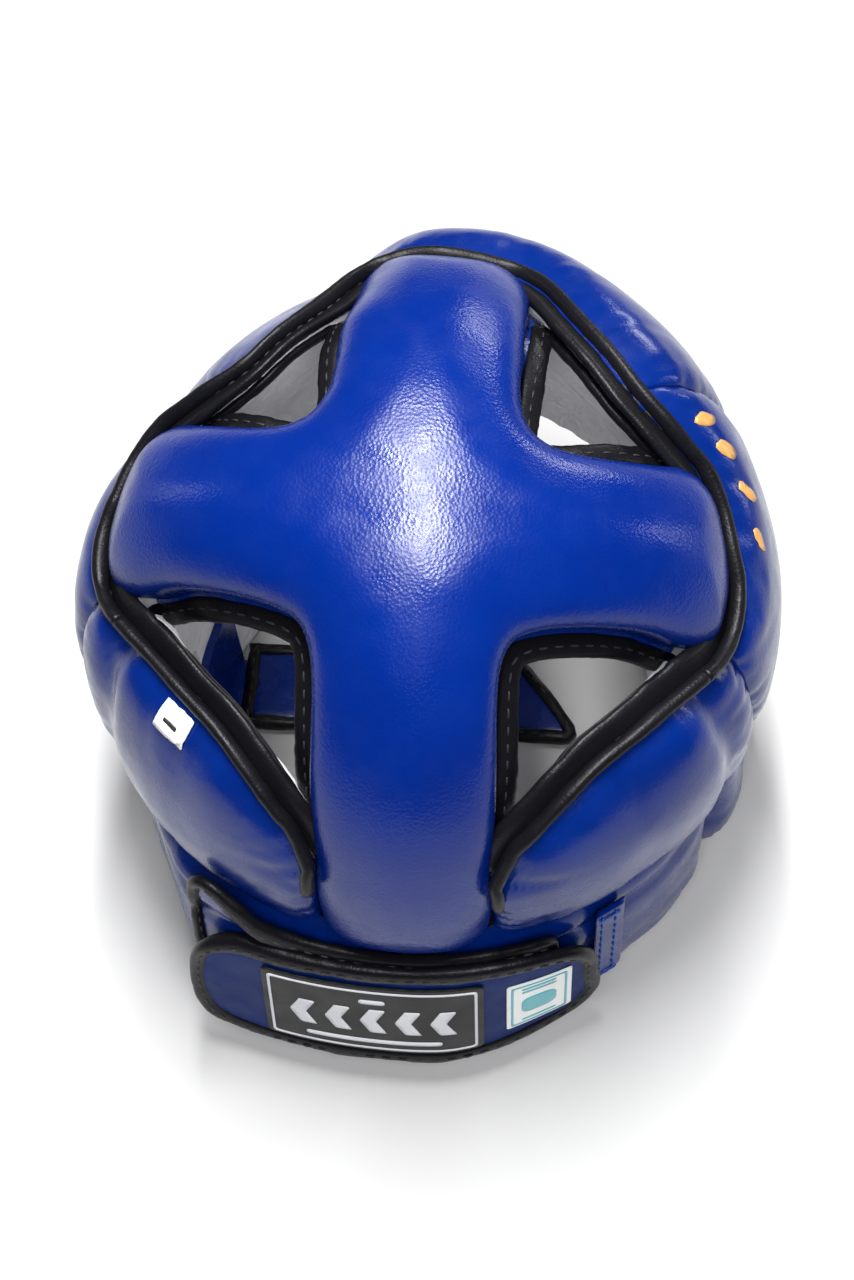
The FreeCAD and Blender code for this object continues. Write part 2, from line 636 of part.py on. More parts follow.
badge_area = rectangle("badge_area", "-Sizes.badge_right", "Sizes.badge_width - Sizes.badge_right",
                       "Sizes.strap_foot + Sizes.badge_foot",
                       "Sizes.strap_foot + Sizes.badge_foot + Sizes.badge_height")
badge_layer = strap_layer("badge_layer", MARK_START, MARK_START + " + Sizes.badge_thickness")
piece("rear_badge", common("rear_badge", badge_layer, badge_area))
label_area = rectangle("label_area", "-Sizes.label_left - Sizes.label_width", "-Sizes.label_left",
                       "Sizes.strap_foot + Sizes.label_foot",
                       "Sizes.strap_foot + Sizes.label_foot + Sizes.label_height")
label_layer = strap_layer("label_layer", MARK_START, MARK_START + " + Sizes.label_thickness")
piece("woven_label", common("woven_label", label_layer, label_area))
root_area = rectangle("root_area", "-Sizes.root_right", "-Sizes.strap_root_line - Sizes.layer_gap",
                      STRAP_LOW, STRAP_HIGH)
root_layer = strap_layer("root_layer", "Sizes.neck_thickness + Sizes.layer_gap", STRAP_END)
piece("rear_strap_root", common("rear_strap_root", root_layer, root_area))
tab_layer = layer("tab_layer", roll_form("tab_inner_form", "(-0.4)", "roll_rear_length"),
                  roll_form("tab_outer_form", "(-1.6)", "roll_rear_length"))
tab_box = box("tab_box", ("Sizes.tab_x", "Sizes.opening_rear_y", "Sizes.tab_foot"),
              ("Sizes.tab_x + Sizes.tab_width", str(FAR), "Sizes.tab_foot + Sizes.tab_height"))
piece("size_tab", common("size_tab", tab_layer, tab_box))

# ---- chin strap -------------------------------------------------------------------------------------------


def plane(body, role):
    return [feature for feature in body.Origin.OriginFeatures if feature.Role == role][0]


def strap_plan(body, name, inset, with_hole=None):
    """The chin strap seen from above: square at its hinge, pointed at its free end."""
    sketch = body.newObject("Sketcher::SketchObject", name)
    sketch.AttachmentSupport = [(plane(body, "XY_Plane"), "")]
    sketch.MapMode = "FlatFace"
    for loop_inset in [inset] if with_hole is None else [inset, with_hole]:
        draw_loop(sketch, chin_corners(loop_inset))
    return sketch


def chin_corners(inset):
    """Corners as formulas, each side moved in by a distance; the free end slants, so it moves further."""
    inset = "(%s)" % inset
    front = "Sizes.chin_strap_rear - Sizes.chin_strap_width + %s" % inset
    rear = "Sizes.chin_strap_rear - %s" % inset
    tip = "Sizes.chin_hinge_x - Sizes.chin_strap_length"
    root = "Sizes.chin_hinge_x - %s * 0.1" % inset
    return [
        (root, front),
        (root, rear),
        ("%s + %s * 1.87" % (tip, inset), rear),
        ("%s + Sizes.chin_strap_point + %s * 0.54" % (tip, inset), front),
    ]


def flat_strip(label, inset, level, thickness, hole=None):
    """A flat piece of the chin strap, from a height up."""
    body = doc.addObject("PartDesign::Body", label)
    pad = body.newObject("PartDesign::Pad", label + "_pad")
    pad.Profile = strap_plan(body, label + "_plan", inset, hole)
    bind(pad, Length=thickness)
    bind(body, **{"Placement.Base.z": level})
    return piece(label, body)


flat_strip("chin_strap", "Sizes.chin_binding_width + Sizes.layer_gap", "Sizes.chin_strap_level",
           "Sizes.chin_strap_thickness")
flat_strip("chin_strap_binding", "0", "Sizes.chin_strap_level - Sizes.chin_binding_rise",
           "Sizes.chin_strap_thickness + 2 * Sizes.chin_binding_rise", "Sizes.chin_binding_width")
hook = doc.addObject("PartDesign::Body", "chin_strap_hook_patch")
hook_pad = hook.newObject("PartDesign::Pad", "chin_hook_pad")
hook_sketch = hook.newObject("Sketcher::SketchObject", "chin_hook_plan")
hook_sketch.AttachmentSupport = [(plane(hook, "XY_Plane"), "")]
hook_sketch.MapMode = "FlatFace"
draw_loop(hook_sketch, [("-Sizes.chin_hook_right", "-Sizes.chin_hook_front"),
                        ("Sizes.chin_hook_left", "-Sizes.chin_hook_front"),
                        ("Sizes.chin_hook_left", "-Sizes.chin_hook_rear"),
                        ("-Sizes.chin_hook_right", "-Sizes.chin_hook_rear")])
hook_pad.Profile = hook_sketch
bind(hook_pad, Length="Sizes.patch_thickness")
bind(hook, **{"Placement.Base.z": "Sizes.chin_strap_level + Sizes.chin_strap_thickness + 0.3"})
piece("chin_strap_hook_patch", hook)

inside = form("anchor_outer_form", "(-Sizes.layer_gap)")
anchor_box = box("anchor_box", ("50", "-Sizes.anchor_front", "Sizes.chin_strap_level"),
                 (str(FAR), "-Sizes.anchor_rear", "Sizes.anchor_top"))
anchor_tab = cut("anchor_tab", anchor_box,
                 form("anchor_inner_form", "(-Sizes.layer_gap - Sizes.anchor_thickness)"))
anchor_foot = box("anchor_foot_box",
                  ("Sizes.chin_hinge_x + 2", "-Sizes.anchor_front", "Sizes.chin_strap_level"),
                  (str(FAR), "-Sizes.anchor_rear - 2", "Sizes.chin_strap_level + Sizes.chin_strap_thickness"))
piece("chin_strap_anchor", common("chin_strap_anchor", inside, fuse("anchor_block", anchor_tab, anchor_foot)))
patch_box = box("chin_patch_box", (str(-FAR), "-Sizes.chin_patch_front", "Sizes.chin_patch_foot"),
                ("-50", "-Sizes.chin_patch_rear", "Sizes.chin_patch_top"))
patch_start = "Sizes.pad_thickness + Sizes.layer_gap"
patch_layer = strap_layer("chin_patch_layer", patch_start, patch_start + " + Sizes.patch_thickness")
piece("chin_loop_patch", common("chin_loop_patch", patch_layer, patch_box))

# ---- check and write --------------------------------------------------------------------------------------
doc.recompute()
faults = [thing.Name for thing in doc.Objects if "Invalid" in thing.State or "Error" in thing.State]
faults += [solid.Label for solid in pieces if solid.Shape.isNull() or not solid.Shape.isValid()]
if faults:
    raise SystemExit("failed: " + ", ".join(faults))
os.makedirs("parts", exist_ok=True)
for solid in pieces:
    solid.Shape.exportStep("parts/%s.step" % solid.Label)
    extent = solid.Shape.BoundBox
    print("%-32s solids %d volume %9.0f  x %.0f..%.0f y %.0f..%.0f z %.1f..%.0f" % (
        solid.Label, len(solid.Shape.Solids), solid.Shape.Volume, extent.XMin, extent.XMax,
        extent.YMin, extent.YMax, extent.ZMin, extent.ZMax))
print(len(pieces), "pieces")
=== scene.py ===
import math

import bmesh
import bpy
import numpy as np
from mathutils import Matrix, Vector, geometry


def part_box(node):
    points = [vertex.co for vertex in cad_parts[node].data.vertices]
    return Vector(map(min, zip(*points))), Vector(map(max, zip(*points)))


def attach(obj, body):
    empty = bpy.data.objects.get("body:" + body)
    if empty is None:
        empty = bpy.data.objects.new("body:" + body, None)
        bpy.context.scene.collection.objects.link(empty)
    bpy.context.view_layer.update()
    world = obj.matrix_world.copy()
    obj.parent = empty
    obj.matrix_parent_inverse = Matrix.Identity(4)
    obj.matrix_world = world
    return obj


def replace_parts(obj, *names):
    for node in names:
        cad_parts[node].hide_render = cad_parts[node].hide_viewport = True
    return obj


# Boxing headgear. Lengths are in millimetres here and turned to metres when a mesh is made.
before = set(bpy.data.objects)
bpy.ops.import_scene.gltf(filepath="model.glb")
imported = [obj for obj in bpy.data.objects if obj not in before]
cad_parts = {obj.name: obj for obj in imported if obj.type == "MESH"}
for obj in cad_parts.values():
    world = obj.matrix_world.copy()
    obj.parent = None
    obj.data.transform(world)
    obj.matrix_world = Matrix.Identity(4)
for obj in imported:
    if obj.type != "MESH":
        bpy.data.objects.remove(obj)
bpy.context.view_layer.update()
MM = 0.001
SIDES = (("left", 1), ("right", -1))

# ---- the forms that the padding lies between ----
CENTRE_Y = 1.5
LEVEL = 108.0
HALF_WIDTH, HALF_LENGTH, LENGTH_SHARE = 88.0, 97.0, 0.85
CROWN_RISE, BAND_RISE, SKIRT_DROP = 85.0, 138.0, 400.0
ROLL_WIDTH, ROLL_FRONT, ROLL_REAR, ROLL_HEIGHT, ROLL_LEVEL = 119.0, 131.0, 121.0, 105.0, 112.0
CROWN_POWER = 2.15
CROWN_SCALE = 115.0
MIDDLE = 0.8        # the share of a pad's thickness at which distances over it are measured


def plan_radius(bearing, width, length):
    return 1 / np.sqrt((np.sin(bearing) / width) ** 2 + (np.cos(bearing) / length) ** 2)


def meridian(z, offset, rise):
    """The share of the full radius that a closed form has at height z."""
    share = np.where(z > LEVEL, (z - LEVEL) / (rise + offset), (LEVEL - z) / (SKIRT_DROP + offset))
    return np.sqrt(np.clip(1 - share ** 2, 0.0004, 1))


def polar(bearing, radius, z):
    """A point from its bearing (0 at the face, +X at 90 degrees), its distance from the axis and height."""
    return np.stack([radius * np.sin(bearing), CENTRE_Y - radius * np.cos(bearing), z + 0 * radius], -1)


def on_form(bearing, z, offset):
    radius = plan_radius(bearing, HALF_WIDTH + offset, HALF_LENGTH + LENGTH_SHARE * offset)
    return polar(bearing, radius * meridian(z, offset, CROWN_RISE), z)


def dome(p, q, offset):
    """A point over the crown from its arc distances to the left and to the rear of the top, and an offset."""
    turn = np.arctan2(q, p)
    angle = np.hypot(p, q) / CROWN_SCALE
    width = HALF_WIDTH + offset
    length = HALF_LENGTH + LENGTH_SHARE * offset
    reach = 1 / np.sqrt((np.cos(turn) / width) ** 2 + (np.sin(turn) / length) ** 2)
    over = np.minimum(angle, math.pi / 2)
    s, c = np.sin(over), np.cos(over)
    share = (s ** CROWN_POWER + c ** CROWN_POWER) ** (-1 / CROWN_POWER)
    drop = np.maximum(angle - math.pi / 2, 0) * CROWN_SCALE
    radius = reach * s * share * np.sqrt(1 - (drop / SKIRT_DROP) ** 2)
    height = LEVEL + (CROWN_RISE + offset) * c * share - drop
    return np.stack([radius * np.cos(turn), CENTRE_Y + radius * np.sin(turn), height], -1)


def crown_place(x, y, offset=25.0, z=None):
    """The arc distances over the crown of a point given in plan, or by its height where the side is steep."""
    turn = math.atan2(y - CENTRE_Y, x)
    angles = np.linspace(0, 2.3, 600)
    p, q = CROWN_SCALE * angles * math.cos(turn), CROWN_SCALE * angles * math.sin(turn)
    points = dome(p, q, offset)
    if z is None:
        radius = np.hypot(points[:, 0], points[:, 1] - CENTRE_Y)
        top = int(np.argmax(radius))
        angle = np.interp(math.hypot(x, y - CENTRE_Y), radius[:top], angles[:top])
    else:
        angle = np.interp(-z, -points[:, 2], angles)
    return CROWN_SCALE * angle * math.cos(turn), CROWN_SCALE * angle * math.sin(turn)


# ---- numbers and noise ----
def smooth(t):
    t = np.clip(t, 0, 1)
    return t * t * (3 - 2 * t)


def offset_or(middle, share):
    """The offset that share gives in millimetres, with middle in place of MIDDLE."""
    return np.where(np.asarray(share) == MIDDLE, middle, share)


def lumps(points, size, seed, octaves=3):
    """Soft unevenness, about -1 to 1, from waves in random directions."""
    local = np.random.default_rng(seed)
    total = np.zeros(len(points))
    weight = 0.0
    for octave in range(octaves):
        for _ in range(5):
            wave = local.normal(size=3)
            wave /= np.linalg.norm(wave) * size / (2 * math.pi) / 1.9 ** octave
            total += np.sin(points @ wave + local.uniform(0, 6.28)) / 1.8 ** octave
        weight += 2.2 / 1.8 ** octave
    return total / weight


def catmull(points, spacing, closed=False):
    """A smooth curve through the points, cut into even steps of about that spacing."""
    pts = np.asarray(points, float)
    n = len(pts)
    if closed:
        ext = np.vstack([pts[-1:], pts, pts[:2]])
    else:
        ext = np.vstack([2 * pts[:1] - pts[1:2], pts, 2 * pts[-1:] - pts[-2:-1]])
    out = []
    for i in range(n if closed else n - 1):
        a, b, c, d = ext[i:i + 4]
        t = np.linspace(0, 1, 24, endpoint=False)[:, None]
        out.append(0.5 * (2 * b + (c - a) * t + (2 * a - 5 * b + 4 * c - d) * t ** 2
                          + (3 * b - 3 * c + d - a) * t ** 3))
    out = np.vstack(out + [pts[:1] if closed else pts[-1:]])
    return resample(out, spacing, closed)


def unit(vectors):
    return vectors / np.linalg.norm(vectors, axis=1)[:, None]


def tangents(path, closed):
    """Directions along a path."""
    return unit(np.roll(path, -1, 0) - np.roll(path, 1, 0) if closed else np.gradient(path, axis=0))


def resample(curve, spacing, closed=False):
    """A polyline cut into even steps; a closed one arrives with its first point repeated."""
    run = np.concatenate([[0], np.cumsum(np.linalg.norm(np.diff(curve, axis=0), axis=1))])
    count = max(int(round(run[-1] / spacing)), 2)
    at = np.linspace(0, run[-1], count + 1)
    even = np.stack([np.interp(at, run, curve[:, k]) for k in range(curve.shape[1])], -1)
    return even[:-1] if closed else even


def signed_area(loop):
    """The area inside a plane loop, positive when it runs anticlockwise."""
    return 0.5 * np.sum(loop[:, 0] * np.roll(loop[:, 1], -1) - np.roll(loop[:, 0], -1) * loop[:, 1])


def nearest(points, loop, closed=True):
    """The distance from each point to a polyline, and how far along it the nearest place is."""
    a = loop if closed else loop[:-1]
    b = np.roll(loop, -1, 0) if closed else loop[1:]
    edge = b - a
    length = np.linalg.norm(edge, axis=1)
    start = np.concatenate([[0], np.cumsum(length)[:-1]])
    best = np.full(len(points), 1e9)
    along = np.zeros(len(points))
    for i in range(0, len(points), 1500):
        chunk = points[i:i + 1500]
        rel = chunk[:, None, :] - a[None]
        t = np.clip((rel * edge[None]).sum(-1) / np.maximum(length ** 2, 1e-9), 0, 1)
        gap = np.linalg.norm(rel - t[..., None] * edge[None], axis=-1)
        k = gap.argmin(1)
        rows = np.arange(len(chunk))
        best[i:i + 1500] = gap[rows, k]
        along[i:i + 1500] = start[k] + t[rows, k] * length[k]
    return best, along


def puckers(along, away, spacing, reach, seed):
    """Valleys that run in from a stitched edge, at uneven places and of uneven length."""
    local = np.random.default_rng(seed)
    total = along.max() + 4 * spacing
    places = np.cumsum(local.uniform(0.55, 1.45, int(total / spacing) + 8) * spacing) - 2 * spacing
    depths = local.uniform(0.25, 1.0, len(places))
    reaches = reach * local.uniform(0.5, 1.7, len(places))
    widths = spacing * local.uniform(0.16, 0.3, len(places))
    slant = local.uniform(-0.35, 0.35, len(places))
    result = np.zeros(len(along))
    near = np.searchsorted(places, along)
    for step in (-2, -1, 0, 1):
        k = np.clip(near + step, 0, len(places) - 1)
        side = (along - places[k] - slant[k] * away) / (widths[k] * (1 + away / 26))
        result += depths[k] * np.exp(-side ** 2) * np.exp(-away / reaches[k])
    return result


# ---- mesh making ----
def lean(points):
    """The unevenness of the whole: a slight twist above, the left front drawn in, the low rear out."""
    points = np.array(points, float)
    x, y, z = points.T.copy()
    weight = smooth((z - 80) / 60)
    points[:, 1] -= 0.05 * x * weight
    points[:, 0] += 2.2 * np.exp(-((y - 35) / 32) ** 2) * weight
    bearing = np.degrees(np.arctan2(x, -y))
    reach = np.hypot(x, y)
    pulled = smooth((bearing - 4) / 24) * smooth((92 - bearing) / 34) * smooth((z - 105) / 45)
    pulled *= 8.0 * smooth((reach - 48) / 34) / np.maximum(reach, 1)
    points[:, 0] -= pulled * x
    points[:, 1] -= pulled * y
    low = smooth((y - 60) / 40) * smooth((92 - z) / 20)
    points[:, 1] += low * (0.0020 * np.maximum(x, 0) ** 2 + 7.0 * smooth((x + 60) / 50) * (77 - z) / 56)
    return points


def new_object(name, data):
    obj = bpy.data.objects.new(name, data)
    bpy.context.scene.collection.objects.link(obj)
    return obj


def place_piece(mesh, material, body="shell"):
    """Put a mesh into the scene as a smooth piece on a body."""
    mesh.polygons.foreach_set("use_smooth", [True] * len(mesh.polygons))
    obj = new_object(mesh.name, mesh)
    mesh.materials.append(MATERIALS[material])
    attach(obj, body)
    return obj


def make(name, verts, faces, material, body="shell"):
    """A mesh piece in metres that rides on a body."""
    mesh = bpy.data.meshes.new(name)
    mesh.from_pydata((lean(verts) * MM).tolist(), [], [list(map(int, f)) for f in faces])
    mesh.validate()
    bm = bmesh.new()
    bm.from_mesh(mesh)
    bmesh.ops.recalc_face_normals(bm, faces=bm.faces)
    bm.to_mesh(mesh)
    bm.free()
    return place_piece(mesh, material, body)


def inside(points, loop):
    """Whether each plane point lies inside a closed loop."""
    x, y = points[:, 0], points[:, 1]
    result = np.zeros(len(points), bool)
    for (x1, y1), (x2, y2) in zip(loop, np.roll(loop, -1, 0)):
        crosses = (y1 > y) != (y2 > y)
        if abs(y2 - y1) > 1e-12:
            result ^= crosses & (x < (x2 - x1) * (y - y1) / (y2 - y1) + x1)
    return result


def covered(points, loops):
    """Whether each plane point lies inside the first loop and outside the others."""
    result = inside(points, loops[0])
    for hole in loops[1:]:
        result &= ~inside(points, hole)
    return result


class Domain:
    """A plane area with a fine, even mesh, whose edges know their distance to every vertex."""

    def __init__(self, loops, place, step, rims=(0.7, 1.9)):
        self.place = place
        clean = [loop if (signed_area(loop) > 0) == (i == 0) else loop[::-1] for i, loop in enumerate(loops)]
        points, edges = [], []
        for loop in clean:
            first = len(points)
            points.extend(loop.tolist())
            edges += [(first + k, first + (k + 1) % len(loop)) for k in range(len(loop))]
        extra = []
        for loop in clean:
            tangent = tangents(loop, True)
            normal = np.stack([-tangent[:, 1], tangent[:, 0]], -1)
            here = place(loop[:, 0], loop[:, 1], MIDDLE)
            moved = loop + normal * 0.5
            stretch = np.linalg.norm(place(moved[:, 0], moved[:, 1], MIDDLE) - here, axis=1) / 0.5
            for rim in rims:
                extra.append(loop + normal * (rim / np.clip(stretch, 0.3, 3))[:, None])
        low, high = clean[0].min(0), clean[0].max(0)
        gx, gy = np.meshgrid(*(np.arange(low[k] + step / 2, high[k], step) for k in (0, 1)))
        grid = np.stack([gx.ravel(), gy.ravel()], -1)
        cand = np.vstack(extra + [grid])
        is_rim = np.arange(len(cand)) < sum(len(e) for e in extra)
        keep = covered(cand, clean)
        cand, is_rim = cand[keep], is_rim[keep]
        gap = np.full(len(cand), 1e9)
        for loop in clean:
            gap = np.minimum(gap, nearest(cand, loop)[0])
        limit = np.where(is_rim, 0.35 * min(rims, default=0), max(rims, default=0) + step * 0.45)
        cand = cand[gap > limit]
        everything = np.vstack([np.array(points), cand])
        result = geometry.delaunay_2d_cdt([Vector(v) for v in everything], edges, [], 1, 1e-5)
        verts = np.array([list(v) for v in result[0]])
        faces = [tuple(f) for f in result[2]]
        centre = np.array([verts[list(f)].mean(0) for f in faces])
        self.faces = [f for f, good in zip(faces, covered(centre, clean)) if good]
        self.verts = verts
        self.p, self.q = verts[:, 0], verts[:, 1]
        self.base = place(self.p, self.q, MIDDLE)
        self.rims = self.boundary()

    def boundary(self):
        """The border vertices as ordered loops."""
        count = {}
        for face in self.faces:
            for a, b in zip(face, face[1:] + face[:1]):
                count[(a, b)] = count.get((a, b), 0) + 1
        nxt = {a: b for (a, b) in count if (b, a) not in count}
        loops = []
        left = set(nxt)
        while left:
            start = left.pop()
            loop = [start]
            while nxt[loop[-1]] != start:
                loop.append(nxt[loop[-1]])
                left.discard(loop[-1])
            loops.append(loop)
        return loops

    def away(self, line, closed=True):
        """Distance over the surface from every vertex to a line given in the plane, and the run along it."""
        solid = self.place(line[:, 0], line[:, 1], MIDDLE)
        return nearest(self.base, solid, closed)


def wall_faces(upper, lower):
    """Faces between two closed rings of vertices."""
    return [(upper[k], upper[k - 1], lower[k - 1], lower[k]) for k in (*range(1, len(upper)), 0)]


def slab(name, area, top, bottom, material, body="shell", wall=2):
    """A closed pad over an area: top and bottom are heights per vertex, joined round the border."""
    n = len(area.verts)
    upper = area.place(area.p, area.q, top)
    lower = area.place(area.p, area.q, bottom)
    verts = np.vstack([upper, lower])
    faces = list(area.faces) + [tuple(n + i for i in f[::-1]) for f in area.faces]
    for rim in area.rims:
        rings = [list(rim)]
        for share in np.arange(1, wall) / wall:
            rings.append(list(range(len(verts), len(verts) + len(rim))))
            verts = np.vstack([verts, upper[rim] * (1 - share) + lower[rim] * share])
        rings.append([n + i for i in rim])
        for above, below in zip(rings, rings[1:]):
            faces += wall_faces(above, below)
    return make(name, verts, faces, material, body)


SKIN_PRESSURE, SKIN_SLACK = 1.2, 0.003
SETTLE_FRAMES = 12
MOST_MOVE = 1.4         # how far a point of the skin may settle


def settle(obj, held):
    """Let the skin of a pad find its own shape: it swells and gathers between the seams that hold it."""
    skin = obj.data.copy()
    skin.materials.clear()
    trial = new_object(obj.name + "_trial", skin)
    group = trial.vertex_groups.new(name="held")
    group.add([int(i) for i in np.nonzero(held)[0]], 1.0, "REPLACE")
    cloth_skin = trial.modifiers.new("skin", "CLOTH")
    settings = cloth_skin.settings
    settings.quality = 6
    settings.mass = 0.25
    settings.tension_stiffness = settings.compression_stiffness = 12
    settings.shear_stiffness = 5
    settings.bending_stiffness = 2.0
    settings.use_pressure = True
    settings.uniform_pressure_force = SKIN_PRESSURE
    settings.vertex_group_mass = "held"
    settings.shrink_min = -SKIN_SLACK
    settings.effector_weights.gravity = 0
    cloth_skin.point_cache.frame_start = 1
    cloth_skin.point_cache.frame_end = SETTLE_FRAMES
    start = np.empty(len(skin.vertices) * 3)
    skin.vertices.foreach_get("co", start)
    start = start.reshape(-1, 3)
    for frame_number in range(1, SETTLE_FRAMES + 1):
        bpy.context.scene.frame_set(frame_number)
    shape = trial.evaluated_get(bpy.context.evaluated_depsgraph_get()).data
    end = np.empty(len(shape.vertices) * 3)
    shape.vertices.foreach_get("co", end)
    move = end.reshape(-1, 3) - start
    far = np.linalg.norm(move, axis=1)
    move *= (np.minimum(far, MOST_MOVE * MM) / np.maximum(far, 1e-9))[:, None]
    obj.data.vertices.foreach_set("co", (start + move).ravel())
    obj.data.update()
    bpy.data.objects.remove(trial)
    bpy.data.meshes.remove(skin)
    bpy.context.scene.frame_set(1)
    print("settled", obj.name, len(start), "moved at most %.1f mm" % (far.max() / MM))


def sweep(name, path, outward, section, body="shell", closed=False):
    """A tape: a section of (sideways, outward) pairs carried along a path on a surface."""
    path = np.asarray(path, float)
    tangent = tangents(path, closed)
    side = unit(np.cross(tangent, outward))
    out = np.cross(side, tangent)
    section = np.repeat(section[None], len(path), 0)
    m = section.shape[1]
    uneven = 1 + 0.07 * lumps(path, 26, len(path)) + 0.05 * lumps(path, 7, len(path) + 1)
    section = section * uneven[:, None, None]
    verts = path[:, None] + side[:, None] * section[..., :1] + out[:, None] * section[..., 1:]
    verts = verts.reshape(-1, 3)
    faces = []
    for i in range(len(path) if closed else len(path) - 1):
        j = (i + 1) % len(path)
        for k in range(m):
            l = (k + 1) % m
            faces.append((i * m + k, i * m + l, j * m + l, j * m + k))
    if not closed:
        faces.append(tuple(range(m)))
        faces.append(tuple((len(path) - 1) * m + k for k in reversed(range(m))))
    return make(name, verts, faces, "binding_leather", body)


def oval(width, height, count=14, square=2.0, lift=0.0):
    """A rounded section, from a circle to nearly a box."""
    t = np.linspace(0, 2 * math.pi, count, endpoint=False)
    c, s = np.cos(t), np.sin(t)
    return np.stack([width / 2 * np.sign(c) * np.abs(c) ** (2 / square),
                     lift + height / 2 * np.sign(s) * np.abs(s) ** (2 / square)], -1)


def stitch_row(path, outward, length=3.6, gap=2.0, thick=0.8, closed=False, lift=0.0):
    """Verts and faces of a row of small stitches lying along a path."""
    even = resample(np.vstack([path, path[:1]]) if closed else path, length + gap, closed)
    tangent = tangents(even, closed)
    index = ((even[:, None] - path[None]) ** 2).sum(-1).argmin(1)
    out = outward[index]
    side = unit(np.cross(tangent, out))
    out = np.cross(side, tangent)
    profile = [(-0.5, 0.0, -0.5), (-0.36, 0.8, 0.1), (0.0, 1.0, 0.35), (0.36, 0.8, 0.1), (0.5, 0.0, -0.5)]
    around = 6
    verts, faces = [], []
    for c, t, s, o in zip(even, tangent, side, out):
        first = len(verts)
        for along, size, up in profile:
            for k in range(around):
                a = 2 * math.pi * k / around
                verts.append(c + t * along * length + s * math.cos(a) * size * thick / 2
                             + o * (lift + up * thick / 2 + math.sin(a) * size * thick / 2))
        for r in range(len(profile) - 1):
            for k in range(around):
                l = (k + 1) % around
                faces.append((first + r * around + k, first + r * around + l,
                              first + (r + 1) * around + l, first + (r + 1) * around + k))
    return verts, faces


def stitches(name, rows, material="black_thread", body="shell"):
    """Several stitch rows as one piece."""
    verts, faces = [], []
    for row_verts, row_faces in rows:
        faces += [tuple(i + len(verts) for i in f) for f in row_faces]
        verts += row_verts
    return make(name, verts, faces, material, body)


# ---- materials ----
MATERIALS = {}


def new_material(name):
    material = bpy.data.materials.new(name)
    material.use_nodes = True
    tree = material.node_tree
    shader = tree.nodes["Principled BSDF"]
    MATERIALS[name] = material
    return tree, shader


def fill(node, values):
    for key, value in values.items():
        node.inputs[key].default_value = value


def add(tree, kind, **values):
    node = tree.nodes.new(kind)
    fill(node, values)
    return node


def blend(tree, source, low, high, dark, colour):
    """A colour ramp from dark to colour between two values of a texture."""
    ramp = add(tree, "ShaderNodeValToRGB")
    for stop, position, shade in zip(ramp.color_ramp.elements, (low, high), (dark, colour)):
        stop.position = position
        stop.color = (*shade, 1)
    tree.links.new(source.outputs["Fac"], ramp.inputs["Fac"])
    return ramp.outputs["Color"]


def bump(tree, height, strength, distance, under=None):
    """A bump on top of another one."""
    node = add(tree, "ShaderNodeBump", Strength=strength, Distance=distance)
    tree.links.new(height, node.inputs["Height"])
    if under:
        tree.links.new(under, node.inputs["Normal"])
    return node.outputs["Normal"]


def leather(name, colour, dark, rough, grain, grain_depth, coat, lump=0.0, gloss=0.32):
    """Leather, rubber, print or thread: grain, broad colour change, uneven roughness and a coat."""
    tree, shader = new_material(name)
    link = tree.links.new
    place = add(tree, "ShaderNodeTexCoord")
    broad = add(tree, "ShaderNodeTexNoise", Scale=26.0, Detail=4.0, Roughness=0.55)
    pebble = add(tree, "ShaderNodeTexVoronoi", Scale=grain)
    fine = add(tree, "ShaderNodeTexNoise", Scale=grain * 2.2, Detail=3.0)
    soft = add(tree, "ShaderNodeTexNoise", Scale=95.0, Detail=2.0)
    for node in (broad, pebble, fine, soft):
        link(place.outputs["Object"], node.inputs["Vector"])
    link(blend(tree, broad, 0.26, 0.74, dark, colour), shader.inputs["Base Color"])
    scuff = add(tree, "ShaderNodeMapRange", **{"From Min": 0.3, "From Max": 0.7, "To Min": rough - 0.05,
                                               "To Max": rough + 0.07})
    link(soft.outputs["Fac"], scuff.inputs["Value"])
    link(scuff.outputs["Result"], shader.inputs["Roughness"])
    relief = bump(tree, pebble.outputs["Distance"], grain_depth, 0.0002)
    relief = bump(tree, fine.outputs["Fac"], grain_depth * 0.6, 0.0001, relief)
    if lump:
        relief = bump(tree, soft.outputs["Fac"], lump, 0.002, relief)
    link(relief, shader.inputs["Normal"])
    fill(shader, {"Coat Weight": coat, "Coat Roughness": max(rough - 0.16, 0.08)})
    fill(shader, {"Specular IOR Level": gloss})


def cloth(name, colour, dark, scale, depth, crease_depth=0.0):
    """Brushed or woven cloth: a short nap, blotches and a fine weave."""
    tree, shader = new_material(name)
    link = tree.links.new
    place = add(tree, "ShaderNodeTexCoord")
    blot = add(tree, "ShaderNodeTexNoise", Scale=60.0, Detail=5.0, Roughness=0.6)
    nap = add(tree, "ShaderNodeTexNoise", Scale=scale, Detail=6.0, Roughness=0.7)
    crease = add(tree, "ShaderNodeTexNoise", Scale=75.0, Detail=3.0, Distortion=1.4)
    for node in (blot, nap, crease):
        link(place.outputs["Object"], node.inputs["Vector"])
    link(blend(tree, blot, 0.3, 0.7, dark, colour), shader.inputs["Base Color"])
    fill(shader, {"Roughness": 0.92, "Sheen Weight": 0.3})
    relief = bump(tree, nap.outputs["Fac"], depth, 0.0003)
    link(bump(tree, crease.outputs["Fac"], crease_depth, 0.0045, relief), shader.inputs["Normal"])


